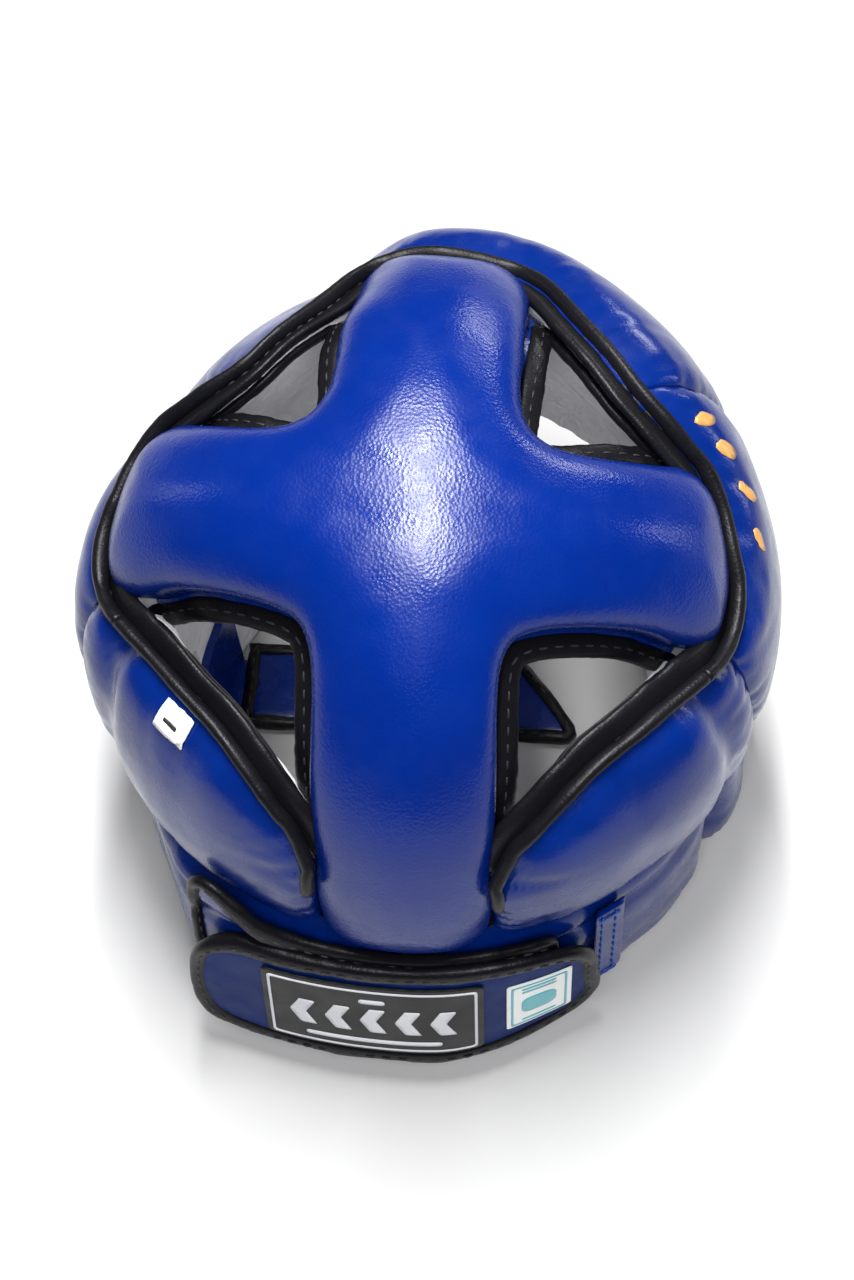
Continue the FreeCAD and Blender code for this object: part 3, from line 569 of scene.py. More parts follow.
leather("crown_leather", (0.0003, 0.016, 0.168), (0.0002, 0.012, 0.142), 0.25, 900, 0.35, 0.0, gloss=0.34)
leather("band_leather", (0.0004, 0.016, 0.155), (0.0003, 0.011, 0.115), 0.25, 900, 0.22, 0.08, lump=0.07)
leather("strap_leather", (0.0012, 0.016, 0.110), (0.0008, 0.011, 0.080), 0.46, 900, 0.25, 0.0, gloss=0.10)
leather("binding_leather", (0.005, 0.005, 0.007), (0.003, 0.003, 0.004), 0.40, 1100, 0.4, 0.04, gloss=0.20)
leather("black_thread", (0.03, 0.03, 0.034), (0.015, 0.015, 0.017), 0.45, 2500, 0.6, 0.0)
leather("blue_thread", (0.015, 0.09, 0.42), (0.01, 0.06, 0.33), 0.5, 2500, 0.6, 0.0)
leather("badge_rubber", (0.011, 0.011, 0.012), (0.008, 0.008, 0.009), 0.5, 1600, 0.4, 0.0)
leather("badge_paint", (0.62, 0.63, 0.66), (0.50, 0.51, 0.55), 0.45, 1600, 0.3, 0.0)
leather("gold_print", (0.62, 0.33, 0.10), (0.42, 0.20, 0.05), 0.32, 1400, 0.3, 0.2)
cloth("suede_lining", (0.84, 0.84, 0.86), (0.68, 0.68, 0.71), 1500.0, 0.5, crease_depth=0.5)
cloth("hook_loop_tape", (0.02, 0.02, 0.022), (0.008, 0.008, 0.01), 2600.0, 1.0)
cloth("woven_tape", (0.80, 0.81, 0.80), (0.70, 0.71, 0.71), 2400.0, 0.5)
cloth("teal_thread", (0.10, 0.42, 0.47), (0.06, 0.32, 0.38), 2400.0, 0.6)

# ---- outlines ----
# the upper edge of the roll on the wearer's left, from the face round to the rear arm
EDGE = [(0, -91.5, 185), (14, -91, 183.5), (26, -88.5, 182.5), (36, -79.5, 187), (47, -63.5, 192),
        (57, -50.5, 194), (67, -37.5, 193), (76, -29.5, 189), (84, -23.5, 183), (91, -18.5, 177),
        (97, -8.5, 170), (101, 3.5, 165), (104, 12.5, 160.5), (104.5, 22.5, 157), (103, 31.5, 155.5),
        (99.5, 40.5, 157), (94, 48.5, 159.5), (82, 61.5, 161), (72, 72.5, 161.5), (60, 84.5, 161),
        (50, 95.5, 157), (41, 104.5, 150), (34, 109.5, 142), (29.5, 113.5, 134)]
half_edge = np.array(EDGE, float)
whole_edge = np.vstack([half_edge[:0:-1] * [-1, 1, 1], half_edge])
edge_curve = catmull(whole_edge, 1.5)
edge_bearing = np.arctan2(edge_curve[:, 0], CENTRE_Y - edge_curve[:, 1])
edge_radius = np.hypot(edge_curve[:, 0], edge_curve[:, 1] - CENTRE_Y)
REAR_CORNER = 48.5


def edge_at(bearing):
    """Distance from the axis and height of the roll's upper edge at a bearing."""
    return (np.interp(bearing, edge_bearing, edge_radius), np.interp(bearing, edge_bearing, edge_curve[:, 2]))


def roll_length(bearing):
    return ROLL_FRONT + (ROLL_REAR - ROLL_FRONT) * smooth((np.abs(np.degrees(bearing)) - 70) / 50)


ROLL_SCALE = 112.0
EDGE_THICK = 10.0
ROLL_DEPTH = 100.0              # the run of q from the upper edge to the foot of the roll
MEET_REACH, SWELL_REACH, PINCH_REACH = 9.0, 15.0, 13.0
FRONT_FOOT, SIDE_FOOT = 98.0, 82.6
LEAST_THICK = 8.0               # the roll is never counted as thinner than this


class Roll:
    """The padding between the lining and the barrel-shaped outside, from the upper edge to a lower level."""

    def __init__(self, foot):
        self.foot = foot

    def __call__(self, p, q, share):
        """p runs round the head, q down from the upper edge, share from the lining (0) to the outside (1)."""
        bearing = p / ROLL_SCALE
        down = np.clip(q / ROLL_DEPTH, 0, 1)
        radius_top, z_top = edge_at(bearing)
        slope_top = np.arcsin((z_top - ROLL_LEVEL) / ROLL_HEIGHT)
        slope_foot = math.asin((self.foot - ROLL_LEVEL) / ROLL_HEIGHT)
        slope = slope_top + (slope_foot - slope_top) * down
        barrel = plan_radius(bearing, ROLL_WIDTH, roll_length(bearing))
        z_out = ROLL_LEVEL + ROLL_HEIGHT * np.sin(slope)
        r_out = barrel * np.cos(slope)
        meet = barrel * np.cos(slope_top) - radius_top
        r_out = r_out - meet * np.exp(-q / MEET_REACH)
        swell = (q / SWELL_REACH) * np.exp(1 - q / SWELL_REACH)
        turned = np.degrees(bearing)
        front = smooth((110 - np.abs(turned)) / 60)
        slack = 1 - 0.95 * smooth((turned - 2) / 26) * smooth((98 - turned) / 30)
        r_out = r_out + (1.5 + 3.5 * front * slack) * swell * (0.4 + 0.6 * slack)
        r_out = r_out - 7.0 * smooth((turned + 12) / 30) * smooth((104 - turned) / 34) * smooth(q / 14)
        z_out = z_out + (0.5 + 4.5 * front * slack) * swell
        z_in = z_top + (self.foot - z_top) * down
        lining = plan_radius(bearing, HALF_WIDTH, HALF_LENGTH) * meridian(z_in, 0, BAND_RISE)
        pinch = radius_top - EDGE_THICK - lining
        r_in = lining + pinch * np.exp(-(q / PINCH_REACH) ** 1.5)
        radius = r_in + (r_out - r_in) * share
        z = z_in + (z_out - z_in) * share
        return polar(bearing, radius, z)


def crown_outline(grow):
    """The cross over the crown, grown outwards: front arm, side arms and rear arm, in arc distances."""
    plan = [(0, -89.5), (14, -89.8), (23, -88), (28, -81), (28.8, -66), (28.4, -50), (28.4, -34),
            (28.6, -22), (30.5, -11), (36, -2.5), (46, 1), (60, -1.5), (75, -8), (86, -14.5), (93.5, -11),
            (98, 0), (101, 12), (101, 23), (98.5, 33), (92, 39), (80, 43), (66, 48), (52, 53), (42, 57),
            (33.5, 62), (28.8, 70), (27.4, 80), (27.6, 92), (28, 103)]
    points = [crown_place(x, y) for x, y in plan]
    for x, z in ((28.2, 134), (28.4, 118), (28.2, 103), (26, 91), (19, 83.5), (9, 81), (0, 80.5)):
        y = 118.0
        points.append(crown_place(x, y, z=z))
    half = np.array(points)
    whole = np.vstack([half, half[-2:0:-1] * [-1, 1]])
    loop = catmull(whole, 2.0, closed=True)
    tangent = tangents(loop, True)
    outwards = np.stack([tangent[:, 1], -tangent[:, 0]], -1) * np.sign(signed_area(loop))
    return loop + outwards * grow


STEP = 2.4


def crown_surface(p, q, share):
    """share here is an offset in millimetres beyond the head space, or MIDDLE."""
    return dome(p, q, offset_or(24.0, share))


# ---- crown ----
def base_height(p, q):
    """How far the thin crown panel stands off the head: it rises to meet the roll's upper edge."""
    toward = np.where(q > 40, 4.0, 10.5)
    return 5 + toward * smooth((np.hypot(p, q) - 25) / 52)


PAD_GROW, PANEL_GROW, TAPE_GROW = 3.2, 9.0, 9.4      # how far each outline lies outside the cross
outline = crown_outline(PAD_GROW)
crown = Domain([outline], crown_surface, STEP)
gap, along = crown.away(outline)
foot = base_height(crown.p, crown.q) + 0.6
ROUND = 15.0                                        # the width of the pad's rounded edge
EDGE_LEVEL, ROUND_RISE, MIDDLE_RISE = 17, 10.5, 3.4
rise = (1 - (1 - np.clip(gap / ROUND, 0, 1)) ** 2.2) ** (1 / 2.2)
top = EDGE_LEVEL + ROUND_RISE * rise + MIDDLE_RISE * smooth((gap - 5) / 23)
top += 0.3 * lumps(crown.base, 60, 3)
pad = slab("crown_pad", crown, top, foot, "crown_leather", wall=4)
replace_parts(pad, "crown_pad_cover", "crown_pad_foam")

base_loop = crown_outline(PANEL_GROW)
base = Domain([base_loop], crown_surface, STEP * 1.4)
gap, along = base.away(base_loop)
level = base_height(base.p, base.q)
panel_top = level - 1.2 * np.exp(-gap / 2.0) + 0.9 * puckers(along, gap, 8, 6, 5)
panel = slab("crown_base_panel", base, panel_top, level - 3.2, "band_leather")
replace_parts(panel, "crown_base_panel")
wrinkle = 0.6 * lumps(base.base, 22, 8)
lining = slab("crown_lining", base, level - 3.6 + wrinkle * 0.4, level - 5.0 + wrinkle, "suede_lining")
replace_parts(lining, "crown_lining")


# ---- the padded roll ----
def polygon(corners, step):
    """A straight-sided loop cut into even steps."""
    return resample(np.array([*corners, corners[0]], float), step, closed=True)


def rounded_patch(p0, p1, q0, q1, ease, step):
    """A rectangle in the plane with eased corners, as a closed loop."""
    loop = []
    for cx, cy, start in ((p1 - ease, q0 + ease, -90), (p1 - ease, q1 - ease, 0), (p0 + ease, q1 - ease, 90),
                          (p0 + ease, q0 + ease, 180)):
        for a in np.radians(np.linspace(start, start + 90, 6)):
            loop.append((cx + ease * math.cos(a), cy + ease * math.sin(a)))
    return polygon(loop, step)


def roll_area(start, end, foot, q0, ease, edge_step, step):
    """The roll between two bearings: its mesh area, its thickness there and its two ends."""
    surface = Roll(foot)
    p0, p1 = (math.radians(v) * ROLL_SCALE for v in (start, end))
    area = Domain([rounded_patch(p0, p1, q0, ROLL_DEPTH, ease, edge_step)], surface, step)
    thick = np.linalg.norm(surface(area.p, area.q, 1.0) - surface(area.p, area.q, 0.0), axis=1)
    return area, np.maximum(thick, LEAST_THICK), p0, p1


def roll_pad(name, start, end, foot, seed, creases=(), gather=1.1):
    """One padded panel of the roll between two bearings."""
    area, thick, p0, p1 = roll_area(start, end, foot, 0.0, 2.0, 2.0, STEP)
    ends = [np.array([(p, 0.0), (p, ROLL_DEPTH / 2), (p, ROLL_DEPTH)]) for p in (p0, p1)]
    upper = np.stack([np.linspace(p0, p1, 60), np.zeros(60)], -1)
    lower = upper + [0, ROLL_DEPTH]
    gap_top, run_top = area.away(upper, closed=False)
    gap_low, run_low = area.away(lower, closed=False)
    share = np.ones(len(area.verts))
    share -= 0.55 * np.exp(-gap_top / 4.2)
    share -= 0.45 * np.exp(-gap_low / 4.0)
    drop = 2.1 * puckers(run_top, gap_top, 7.5, 8, seed) * smooth(gap_top / 3)
    drop += 1.0 * puckers(run_low, gap_low, 9, 9, seed + 1) * smooth(gap_low / 3)
    for k, line in enumerate(ends):
        dense = resample(line, 4.0)
        gap_end, run_end = area.away(dense, closed=False)
        drop += 3.4 * np.exp(-(gap_end / 3.0)) + gather * puckers(run_end, gap_end, 8, 9, seed + 3 + k)
    for bearing, depth, width in creases:
        p = math.radians(bearing) * ROLL_SCALE
        line = resample(np.array([(p, 0.0), (p + 3, 40.0), (p - 2, ROLL_DEPTH)]), 4.0)
        gap_line = area.away(line, closed=False)[0]
        drop += depth * np.exp(-(gap_line / width) ** 2) * np.exp(-area.q / 70)
    drop -= 0.7 * lumps(area.base, 80, seed + 9, octaves=2)
    share = np.clip(share - drop / thick, 0.12, 1.2)
    low_share = np.clip(1.9 / thick, 0, 0.2)
    obj = slab(name + "_pad", area, share, low_share, "band_leather")
    held = np.ones(len(obj.data.vertices), bool)
    held[:len(share)] = np.minimum(gap_top, gap_low) < 3.0
    settle(obj, held)
    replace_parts(obj, name + "_cover", name + "_foam")


SEAM_TEMPLE, SEAM_LOBE, LOBE_END = 60.0, 107.0, 165.2
roll_pad("forehead", -SEAM_TEMPLE + 0.1, SEAM_TEMPLE - 0.1, FRONT_FOOT, 20)
for side, sign in SIDES:
    ends = sorted((sign * (SEAM_TEMPLE + 0.1), sign * (SEAM_LOBE - 0.1)))
    roll_pad(side + "_temple", *ends, SIDE_FOOT, 40 + 20 * sign)
    ends = sorted((sign * (SEAM_LOBE + 0.1), sign * LOBE_END))
    roll_pad(side + "_rear_lobe", *ends, SIDE_FOOT, 90 + 20 * sign,
             creases=((sign * 119, 5.5, 6), (sign * 140, 1.5, 9)), gather=2.4)


def roll_lining(name, start, end, foot, seed):
    area, thick, _, _ = roll_area(start, end, foot, 3.5, 1.0, 3.0, STEP * 1.3)
    folds = 1.1 * lumps(area.base * [1, 1, 0.45], 26, seed) + 0.5 * lumps(area.base, 9, seed + 1)
    high = (1.7 + 0.2 * folds) / thick
    low = (-0.3 - np.abs(folds)) / thick
    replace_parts(slab(name, area, high, low, "suede_lining"), name)


roll_lining("forehead_lining", -59.8, 59.8, FRONT_FOOT, 150)
for side, sign in SIDES:
    ends = sorted((sign * 60.2, sign * LOBE_END))
    roll_lining(side + "_side_lining", *ends, SIDE_FOOT, 160 + sign)


# ---- piping of the upper edge ----
def outward_at(path):
    """Directions out of the head at points on its surface."""
    half_size = np.array([HALF_WIDTH, HALF_LENGTH, 118])
    return unit((path - [0, CENTRE_Y, LEVEL - 40]) / half_size / half_size)


front_part = edge_curve[edge_curve[:, 1] < REAR_CORNER]
PIPING = oval(4.4, 5.6, 14, 2.2, lift=-0.7)
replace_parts(sweep("band_top_piping", front_part, outward_at(front_part), PIPING), "band_top_binding")
for side, sign in SIDES:
    part = edge_curve[(edge_curve[:, 1] >= REAR_CORNER - 1.0) & (edge_curve[:, 0] * sign > 0)]
    if part[0, 1] > part[-1, 1]:
        part = part[::-1]
    reaches_down = np.linspace(5, 27, 8)
    beside_arm = Roll(SIDE_FOOT)(np.full(8, sign * math.radians(LOBE_END) * ROLL_SCALE), reaches_down, 0.95)
    part = catmull(np.vstack([part[:-4:5], beside_arm]), 1.5)
    rear = sweep(side + "_rear_edge_piping", part, outward_at(part), PIPING)
    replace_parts(rear, side + "_rear_edge_binding")


# ---- bindings round the four crown openings ----
def inward_at(path):
    """Level directions towards the axis of the head."""
    return -unit((path - [0, CENTRE_Y, 0]) * [1, 1, 0])


TAPE_IN, TAPE_DROP = 9.5, 5.5           # from the roll's upper edge to the openings' tape


def opening_binding(name, side, front):
    """A closed black tape: back along the cross, then along the roll's upper edge."""
    loop = crown_outline(TAPE_GROW)
    points = dome(loop[:, 0], loop[:, 1], base_height(loop[:, 0], loop[:, 1]) - 1.2)
    if front:
        keep = (points[:, 0] > 24) & (points[:, 1] < 6)
    else:
        keep = (points[:, 0] > 24) & (points[:, 1] > 36) & (points[:, 2] > 128)
    edge = edge_curve[edge_curve[:, 0] > 12]
    edge = edge + inward_at(edge) * TAPE_IN + [0, 0, -TAPE_DROP]
    gap = np.sqrt(((points[:, None] - edge[None]) ** 2).sum(-1))
    reach = np.hypot(points[:, 0], points[:, 1] - CENTRE_Y)
    limit = np.hypot(edge[:, 0], edge[:, 1] - CENTRE_Y)[gap.argmin(1)]
    keep &= (gap.min(1) > 2.5) & (reach < limit)
    arc = points[keep]
    first = int(np.argmax(np.linalg.norm(np.roll(arc, 1, 0) - arc, axis=1)))
    arc = np.roll(arc, -first, 0)
    near = [int(((edge - end) ** 2).sum(-1).argmin()) for end in (arc[-1], arc[0])]
    low, high = sorted(near)
    rim = edge[low:high + 1]
    if near[0] > near[1]:
        rim = rim[::-1]
    path = catmull(np.vstack([arc[::3], rim[2:-2:4]]) * [side, 1, 1], 1.6, closed=True)
    out = outward_at(path)
    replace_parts(sweep(name + "_tape", path, out, oval(8.0, 4.2, 16, 2.8), closed=True), name + "_binding")
    stitches(name + "_tape_stitching", [stitch_row(path, out, closed=True, lift=2.05)])


for side, sign in SIDES:
    opening_binding(side + "_front_opening", sign, True)
    opening_binding(side + "_rear_opening", sign, False)

# black facing between the piping and the lining, on the inside of the roll's upper edge
facing_line = edge_curve[::2]
facing_out = outward_at(facing_line)
FACING_IN, FACING_DROP = 5.3, 2.4
facing_path = facing_line + inward_at(facing_line) * FACING_IN + [0, 0, -FACING_DROP]
sweep("band_top_facing", facing_path, facing_out, oval(15.6, 5.0, 14, 2.6))
stitches("band_top_stitching", [stitch_row(facing_path, facing_out, lift=2.3)])


# ---- cheek pads ----
WRAP = 112.0
EAR_BEARING, EAR_LEVEL, EAR_HALF = 92.1, 50, (14.6, 15.4)
PAD_FLOOR = 2.0         # the inside of the cheek and neck pads stands this far off the head


def wrap(p, q, share):
    """A band round the head: p runs round it, q is the height, share the offset in millimetres or MIDDLE."""
    return on_form(p / WRAP, q, offset_or(14.0, share))


def on_bearing(points):
    return np.array([(math.radians(b) * WRAP, z) for b, z in points])


def tape_round(name, loop, surface, offset, width, thick, body="shell", node=None, stitch=None, closed=True):
    """A black tape folded over the edge of a pad, with its stitching at a height on it."""
    path = surface(loop[:, 0], loop[:, 1], offset)
    out = unit(surface(loop[:, 0], loop[:, 1], offset + 1.0) - path)
    tape = sweep(name + "_tape", path, out, oval(width, thick, 16, 2.6), body, closed)
    if node:
        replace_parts(tape, node)
    if stitch:
        stitches(name + "_stitching", [stitch_row(path, out, closed=closed, lift=stitch)], body=body)


def lined_pad(name, panel, area, height, seed):
    """A padded panel with its lining; panel begins the names of the CAD pieces."""
    pad = slab(name + "_pad", area, height, PAD_FLOOR, "band_leather")
    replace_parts(pad, panel + "_cover", panel + "_foam")
    fold = 0.7 * lumps(area.base, 24, seed)
    lining = slab(name + "_lining", area, 1.6 + 0.2 * fold, -0.6 + np.minimum(fold, 0.4), "suede_lining")
    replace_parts(lining, panel + "_lining")


CHEEK = [(43, 3.4), (40.6, 7), (40.2, 25), (40.4, 44), (43, 51), (52, 58), (62, 66), (70, 74), (78, 79),
         (90, 80.5), (103, 80.5), (109, 78), (110.4, 70), (110.5, 40), (110.4, 10), (107.5, 3.4), (95, 3.3),
         (75, 3.3), (57, 3.3)]
for side, sign in SIDES:
    loop = catmull(on_bearing(CHEEK) * [sign, 1], 2.0, closed=True)
    t = np.linspace(0, 2 * math.pi, 44, endpoint=False)
    hole = np.stack([sign * (math.radians(EAR_BEARING) * WRAP + EAR_HALF[0] * np.cos(t)),
                     EAR_LEVEL + EAR_HALF[1] * np.sin(t)], -1)
    area = Domain([loop, hole], wrap, STEP)
    gap_edge, run_edge = area.away(loop)
    gap_hole, run_hole = area.away(hole)
    height = 29.5 - 15.5 * np.exp(-gap_edge / 5.0) - 9.0 * np.exp(-gap_hole / 4.0)
    height -= 1.6 * puckers(run_edge, gap_edge, 11, 12, 210 + sign) * smooth(gap_edge / 3)
    height -= 1.3 * puckers(run_hole, gap_hole, 9, 8, 220 + sign) * smooth(gap_hole / 3)
    height += 0.6 * lumps(area.base, 45, 230 + sign)
    lined_pad(side + "_cheek", side + "_cheek", area, height, 240 + sign)
    tape_round(side + "_cheek", loop, wrap, 8.0, 6.4, 14.5, node=side + "_cheek_binding", stitch=7.1)
    tape_round(side + "_ear_hole", hole, wrap, 12.0, 5.0, 21.0, node=side + "_ear_hole_binding")

# ---- neck panels ----
NECK = [(114, 3.4), (111.9, 7), (111.7, 40), (111.8, 76), (114, 81), (130, 82), (150, 82), (170, 82),
        (176.5, 81), (178.2, 76), (178.2, 40), (178, 7), (176, 3.4), (160, 3.3), (135, 3.3)]
for side, sign in SIDES:
    loop = catmull(on_bearing(NECK) * [sign, 1], 2.0, closed=True)
    area = Domain([loop], wrap, STEP)
    gap_edge, run_edge = area.away(loop)
    crease = resample(on_bearing([(112, 62), (140, 66), (178, 60)]) * [sign, 1], 4.0)
    gap_fold = area.away(crease, closed=False)[0]
    height = 23.5 - 9.5 * np.exp(-gap_edge / 4.5) - 3.2 * np.exp(-(gap_fold / 4.0) ** 2)
    height -= 1.2 * puckers(run_edge, gap_edge, 12, 12, 250 + sign) * smooth(gap_edge / 3)
    height += 0.8 * lumps(area.base, 50, 260 + sign)
    lined_pad(side + "_neck", side + "_neck_panel", area, height, 270 + sign)
    tape_round(side + "_neck", loop, wrap, 8.0, 6.4, 13.5, stitch=6.6)

# ---- brow edge ----
brow_line = np.stack([np.radians(np.linspace(-59, 59, 90)) * WRAP, np.full(90, 97.0)], -1)
tape_round("brow", brow_line, wrap, 12.0, 6.0, 20.0, node="brow_binding", closed=False)


# ---- rear closure ----
class Rear:
    """The back of the headgear seen from behind: p across, q up, share the offset in millimetres."""

    def __init__(self, middle, flare=0.0, lift=0.0):
        self.middle, self.flare, self.lift = middle, flare, lift

    def __call__(self, p, q, share):
        offset = offset_or(self.middle, share)
        offset = offset + self.flare * smooth((p - 45) / 30) ** 2 + self.lift * smooth((q - 76) / 14)
        width = HALF_WIDTH + offset
        length = HALF_LENGTH + LENGTH_SHARE * offset
        depth = np.sqrt(np.clip(meridian(q, offset, CROWN_RISE) ** 2 - (p / width) ** 2, 0.01, 1))
        return np.stack([p + 0 * depth, CENTRE_Y + length * depth, q + 0 * depth], -1)


def plain_slab(name, loop, surface, low, high, material, body="shell", step=STEP, waves=0.0, seed=0):
    """A thin flat piece on a surface that stands for the CAD piece of the same name."""
    area = Domain([loop], surface, step)
    gap_edge = area.away(loop)[0]
    height = high + waves * lumps(area.base, 30, seed) - (high - low) * 0.25 * np.exp(-gap_edge / 1.2)
    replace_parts(slab(name, area, height, low, material, body), name)


LOOP_PANEL = [(-46, 25), (-46, 50), (-46, 78), (-30, 79), (0, 79.5), (28, 80), (44, 84), (57, 94), (66, 98),
              (70.5, 93), (71, 80), (70.5, 55), (69.5, 27), (66, 24), (30, 23.5), (0, 23.5), (-42, 23.5)]
panel_surface = Rear(26.0, lift=7.5)
loop = catmull(np.array(LOOP_PANEL, float), 2.0, closed=True)
plain_slab("rear_loop_panel", loop, panel_surface, 25.0, 27.2, "band_leather", waves=0.3, seed=300)
tape_round("rear_loop_panel", loop, panel_surface, 26.2, 6.2, 4.2, node="rear_loop_panel_binding", stitch=2.0)
patch_loop = polygon([(-34, 33), (58, 33), (58, 66), (-34, 66)], 2.0)
plain_slab("rear_loop_patch", patch_loop, Rear(27.0), 27.4, 28.4, "hook_loop_tape", step=3.0)

STRAP = [(-61, 36), (-60.5, 49), (-60, 62), (-54, 73), (-40, 77), (-20, 77.5), (10, 77), (40, 76.5),
         (58, 76), (68, 70), (71.5, 58), (71.5, 40), (68, 28), (58, 22), (40, 21), (10, 21), (-20, 21),
         (-40, 21.5), (-54, 25)]
strap_surface = Rear(32.0, flare=3.0)
loop = catmull(np.array(STRAP, float), 2.0, closed=True)
plain_slab("rear_strap", loop, strap_surface, 30.7, 33.3, "strap_leather", "rear_strap", waves=0.35, seed=310)
tape_round("rear_strap", loop, strap_surface, 32.0, 6.4, 4.8, "rear_strap", "rear_strap_binding", stitch=2.4)
hook_loop = polygon([(-8, 34), (56, 34), (56, 64), (-8, 64)], 2.0)
plain_slab("rear_strap_hook_patch", hook_loop, Rear(29.6), 29.3, 30.3, "hook_loop_tape", "rear_strap",
           step=3.0)


def frame_loop(x0, x1, z0, z1, ease):
    return rounded_patch(x0, x1, z0, z1, ease, 1.2)


BADGE = (-26.0, 49.0, 26.5, 71.5)
plain_slab("rear_badge", frame_loop(*BADGE, 2.0), strap_surface, 33.9, 35.1, "badge_rubber", "rear_strap",
           step=2.0)


def painted(name, marks, low, high, material):
    """Raised marks on the rear strap, each an outline and the holes in it."""
    for k, (outer, holes) in enumerate(marks):
        area = Domain([outer, *holes], strap_surface, 1.6, rims=())
        slab("%s_%d" % (name, k), area, high, low, material, "rear_strap", wall=1)


x0, x1, z0, z1 = BADGE
marks = [(frame_loop(x0 + 2, x1 - 2, z0 + 2, z1 - 2, 1.2), [frame_loop(x0 + 3, x1 - 3, z0 + 3, z1 - 3, 0.8)])]
for k in range(5):
    left = x0 + 9 + k * 12.0
    arrow = [(0, 41), (5.5, 41), (9, 49), (5.5, 57), (0, 57), (3.5, 49)]
    marks.append((polygon([(left + x, z) for x, z in arrow], 1.2), []))
marks.append((frame_loop(x0 + 14, x1 - 14, 33, 35.4, 0.8), []))
marks.append((frame_loop(7, 16, 61.0, 63.5, 1.0), []))
painted("rear_badge_mark", marks, 35.0, 35.4, "badge_paint")

LABEL = (-55.0, -33.5, 31.0, 65.0)
x0, x1, z0, z1 = LABEL
plain_slab("woven_label", frame_loop(*LABEL, 0.6), strap_surface, 33.4, 34.0, "woven_tape", "rear_strap",
           step=2.0)
marks = [(frame_loop(x0 + 1.5, x1 - 1.5, z0 + 1.5, z1 - 1.5, 0.5),
          [frame_loop(x0 + 2.3, x1 - 2.3, z0 + 2.3, z1 - 2.3, 0.4)])]
marks.append((frame_loop(x0 + 5, x1 - 5, 41, 53, 3.5), []))
for z in (35.0, 57.5, 60.0):
    marks.append((frame_loop(x0 + 5, x1 - 5, z, z + 1.2, 0.4), []))
painted("woven_label_mark", marks, 33.95, 34.2, "teal_thread")

root_surface = Rear(27.0)
root_loop = rounded_patch(-71.5, -62.0, 22.0, 79.0, 1.5, 1.5)
plain_slab("rear_strap_root", root_loop, root_surface, 24.4, 27.0, "band_leather", waves=0.2, seed=330)


def root_row(across, up):
    """Stitching on the root of the strap."""
    across, up = np.broadcast_arrays(across, up)
    path = root_surface(across, up, 27.1)
    return stitch_row(path, unit(root_surface(across, up, 28.1) - path), lift=0.2)


rows = [root_row(x, np.linspace(25, 76, 44)) for x in (-64.4, -68.8)]
rows += [root_row(np.linspace(-68.8, -64.4, 4), z) for z in (25, 76)]
stitches("rear_strap_root_stitching", rows, "blue_thread")

# ---- chin strap ----
box_low, box_high = (np.array(v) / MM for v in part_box("chin_strap_binding"))


def flat(p, q, share):
    """The chin strap's plane: p is x, q is y, share the height in millimetres or MIDDLE."""
    height = offset_or(3.4, share)
    return np.stack([p + 0 * height, q + 0 * height, height + 0 * p], -1)


x0, x1, y0, y1 = box_low[0], box_high[0], box_low[1], box_high[1]
chin = np.array([(x1 - 1, y0 + 3), (x1 - 1, (y0 + y1) / 2), (x1 - 1, y1 - 3), (x1 - 6, y1 - 2.5),
                 (x1 - 60, y1 - 2.5), (x0 + 14, y1 - 2.5), (x0 + 3, y1 - 3), (x0 + 5, y1 - 9),
                 (x0 + 16, y0 + 12), (x0 + 27, y0 + 3), (x0 + 60, y0 + 2.5), (x1 - 6, y0 + 2.5)])
loop = catmull(chin, 2.0, closed=True)
plain_slab("chin_strap", loop, flat, 1.6, 5.0, "band_leather", "chin_strap", waves=0.3, seed=340)
tape_round("chin_strap", loop, flat, 3.4, 5.0, 5.0, "chin_strap", "chin_strap_binding", stitch=2.4)
low, high = (np.array(v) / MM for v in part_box("chin_strap_hook_patch"))
plain_slab("chin_strap_hook_patch", frame_loop(low[0], high[0], low[1], high[1], 1.5), flat, 5.0, 6.2,
           "hook_loop_tape", "chin_strap", step=3.0)

# ---- CAD pieces kept as they are ----
for node, material in (("chin_strap_anchor", "band_leather"), ("chin_loop_patch", "hook_loop_tape")):
    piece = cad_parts[node]
    piece.data.materials.clear()
    piece.data.materials.append(MATERIALS[material])

# ---- size tab and gold print ----
lobe = Roll(SIDE_FOOT)


def on_pad(name, loop, pad_name, material, lift, thick, node=None):
    """A thin piece laid on a pad's outer surface."""
    area = Domain([loop], lobe, 1.6, rims=())
    points = lean(lobe(area.p, area.q, 1.25)) * MM
    target = bpy.data.objects[pad_name]
    tops, bottoms = [], []
    for point in points:
        _, place, normal, _ = target.closest_point_on_mesh(Vector(point))
        tops.append(np.array(place + normal * (lift + thick) * MM))
        bottoms.append(np.array(place + normal * lift * MM))
    n = len(points)
    verts = np.array(tops + bottoms) / MM
    faces = list(area.faces) + [tuple(n + i for i in f[::-1]) for f in area.faces]
    for rim in area.rims:
        faces += wall_faces(rim, [n + i for i in rim])
    mesh = bpy.data.meshes.new(name)
    mesh.from_pydata((verts * MM).tolist(), [], faces)
    obj = place_piece(mesh, material)
    if node:
        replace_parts(obj, node)


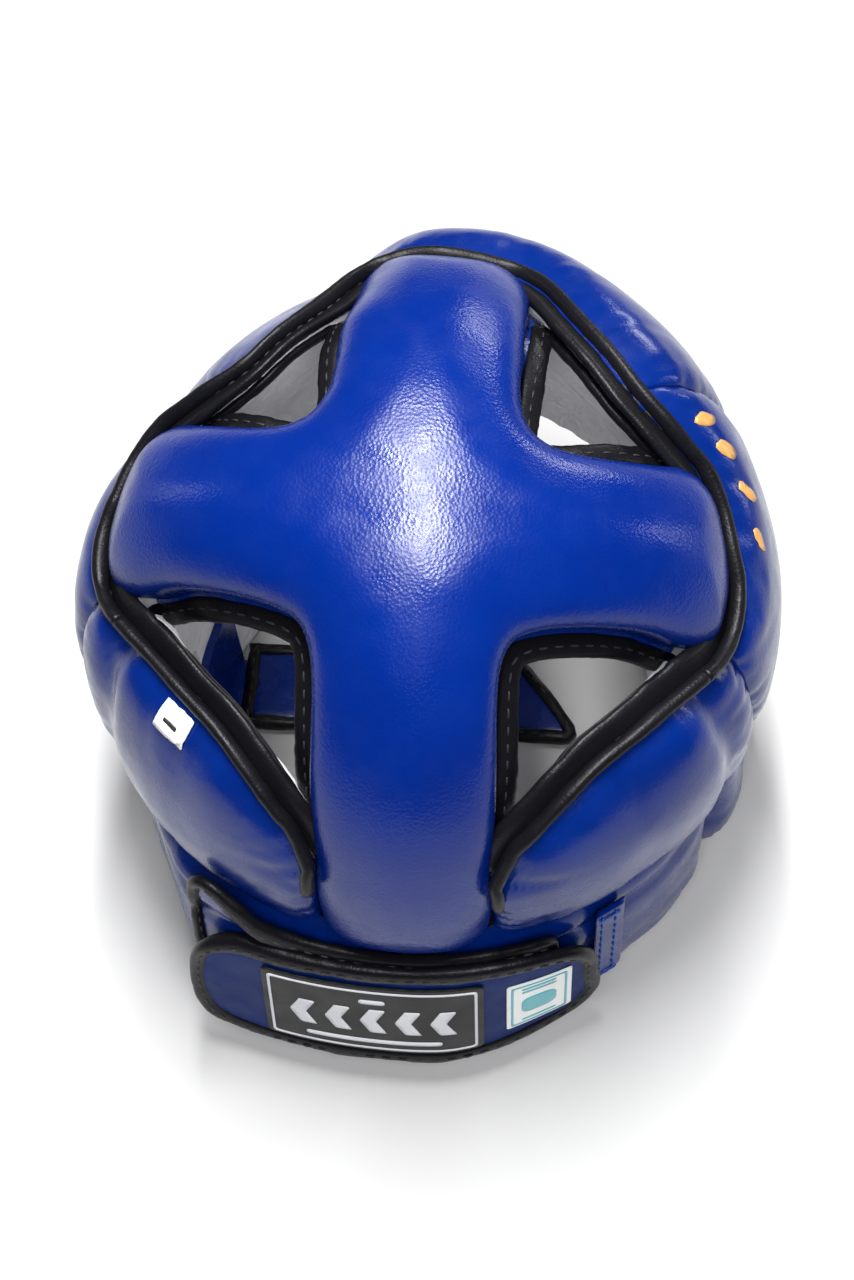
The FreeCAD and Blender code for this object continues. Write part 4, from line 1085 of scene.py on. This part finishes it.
TAB_BEARING = 136.5
tab_p = math.radians(TAB_BEARING) * ROLL_SCALE
on_pad("size_tab", rounded_patch(tab_p - 6.5, tab_p + 6.5, 1.5, 12.5, 0.3, 0.8), "left_rear_lobe_pad",
       "woven_tape", 0.5, 0.5, node="size_tab")
on_pad("size_tab_mark", rounded_patch(tab_p - 3.0, tab_p + 3.0, 6.4, 7.8, 0.2, 0.6), "left_rear_lobe_pad",
       "black_thread", 1.0, 0.12)
LEAVES = ((-69.5, 3.5, 10, 3.5), (-74, 5, 10, 2.0), (-79.5, 6, 11, 0.5), (-86, 8, 10, -1.5))
for k, (bearing, start, length, slant) in enumerate(LEAVES):
    p = math.radians(bearing) * ROLL_SCALE
    t = np.linspace(0, 1, 9)
    half = 2.7 * np.sin(math.pi * t) ** 0.8
    middle = p + slant * t
    leaf = np.concatenate([np.stack([middle + half, start + length * t], -1)[:-1],
                           np.stack([middle - half, start + length * t], -1)[:0:-1]])
    on_pad("gold_print_%d" % k, leaf, "right_temple_pad", "gold_print", 0.08, 0.1)

# ---- floor, light and camera ----
bpy.ops.mesh.primitive_plane_add(size=6, location=(0, 0, -0.0004))
floor = bpy.context.object
floor.name = "studio_floor"
tree, shader = new_material("floor_paint")
fill(shader, {"Base Color": (0.54, 0.54, 0.54, 1), "Roughness": 0.9})
floor.data.materials.append(MATERIALS["floor_paint"])

world = bpy.data.worlds.new("studio")
bpy.context.scene.world = world
world.use_nodes = True
fill(world.node_tree.nodes["Background"], {"Color": (1.0, 1.0, 1.0, 1), "Strength": 0.04})
bpy.context.scene.view_settings.view_transform = "Standard"


def lamp(name, place, aim, size, power, mirrored=True):
    data = bpy.data.lights.new(name, "AREA")
    data.shape = "RECTANGLE"
    data.size, data.size_y = size
    data.energy = power
    obj = new_object(name, data)
    obj.location = place
    obj.rotation_euler = (Vector(aim) - Vector(place)).to_track_quat("-Z", "Y").to_euler()
    obj.visible_glossy = mirrored


lamp("key", (0.03, -0.22, 1.40), (0.01, 0, 0.17), (0.13, 1.00), 37)
lamp("left_edge", (1.2, -0.5, 0.45), (0, 0, 0.1), (0.08, 0.5), 0.6)
lamp("right_edge", (-1.2, -0.4, 0.50), (0, 0, 0.1), (0.08, 0.5), 1.2)
lamp("front_rim", (-0.60, -1.4, 0.62), (0, 0, 0.1), (0.45, 0.16), 3.6)
lamp("soft_fill", (-0.15, 0.95, 1.5), (0, 0, 0.1), (0.7, 0.7), 24, mirrored=False)

TARGET = np.array([-0.1, 15.1, 108.9])
DISTANCE, AZIMUTH, ELEVATION, ROLL = 953.8, -6.74, 59.84, -2.97
camera_data = bpy.data.cameras.new("camera")
camera = new_object("camera", camera_data)
az, el, roll = map(math.radians, (AZIMUTH, ELEVATION, ROLL))
back = np.array([math.sin(az) * math.cos(el), math.cos(az) * math.cos(el), math.sin(el)])
eye = TARGET + back * DISTANCE
right = np.cross(-back, [0, 0, 1])
right /= np.linalg.norm(right)
up = np.cross(right, -back)
right_rolled = math.cos(roll) * right + math.sin(roll) * up
up_rolled = -math.sin(roll) * right + math.cos(roll) * up
turn = Matrix((right_rolled, up_rolled, back)).transposed()
camera.matrix_world = Matrix.Translation(Vector(eye * MM)) @ turn.to_4x4()
camera_data.sensor_width = 36
camera_data.sensor_fit = "VERTICAL"
camera_data.sensor_height = 36
camera_data.lens = 78.8
camera_data.clip_end = 20
bpy.context.scene.camera = camera
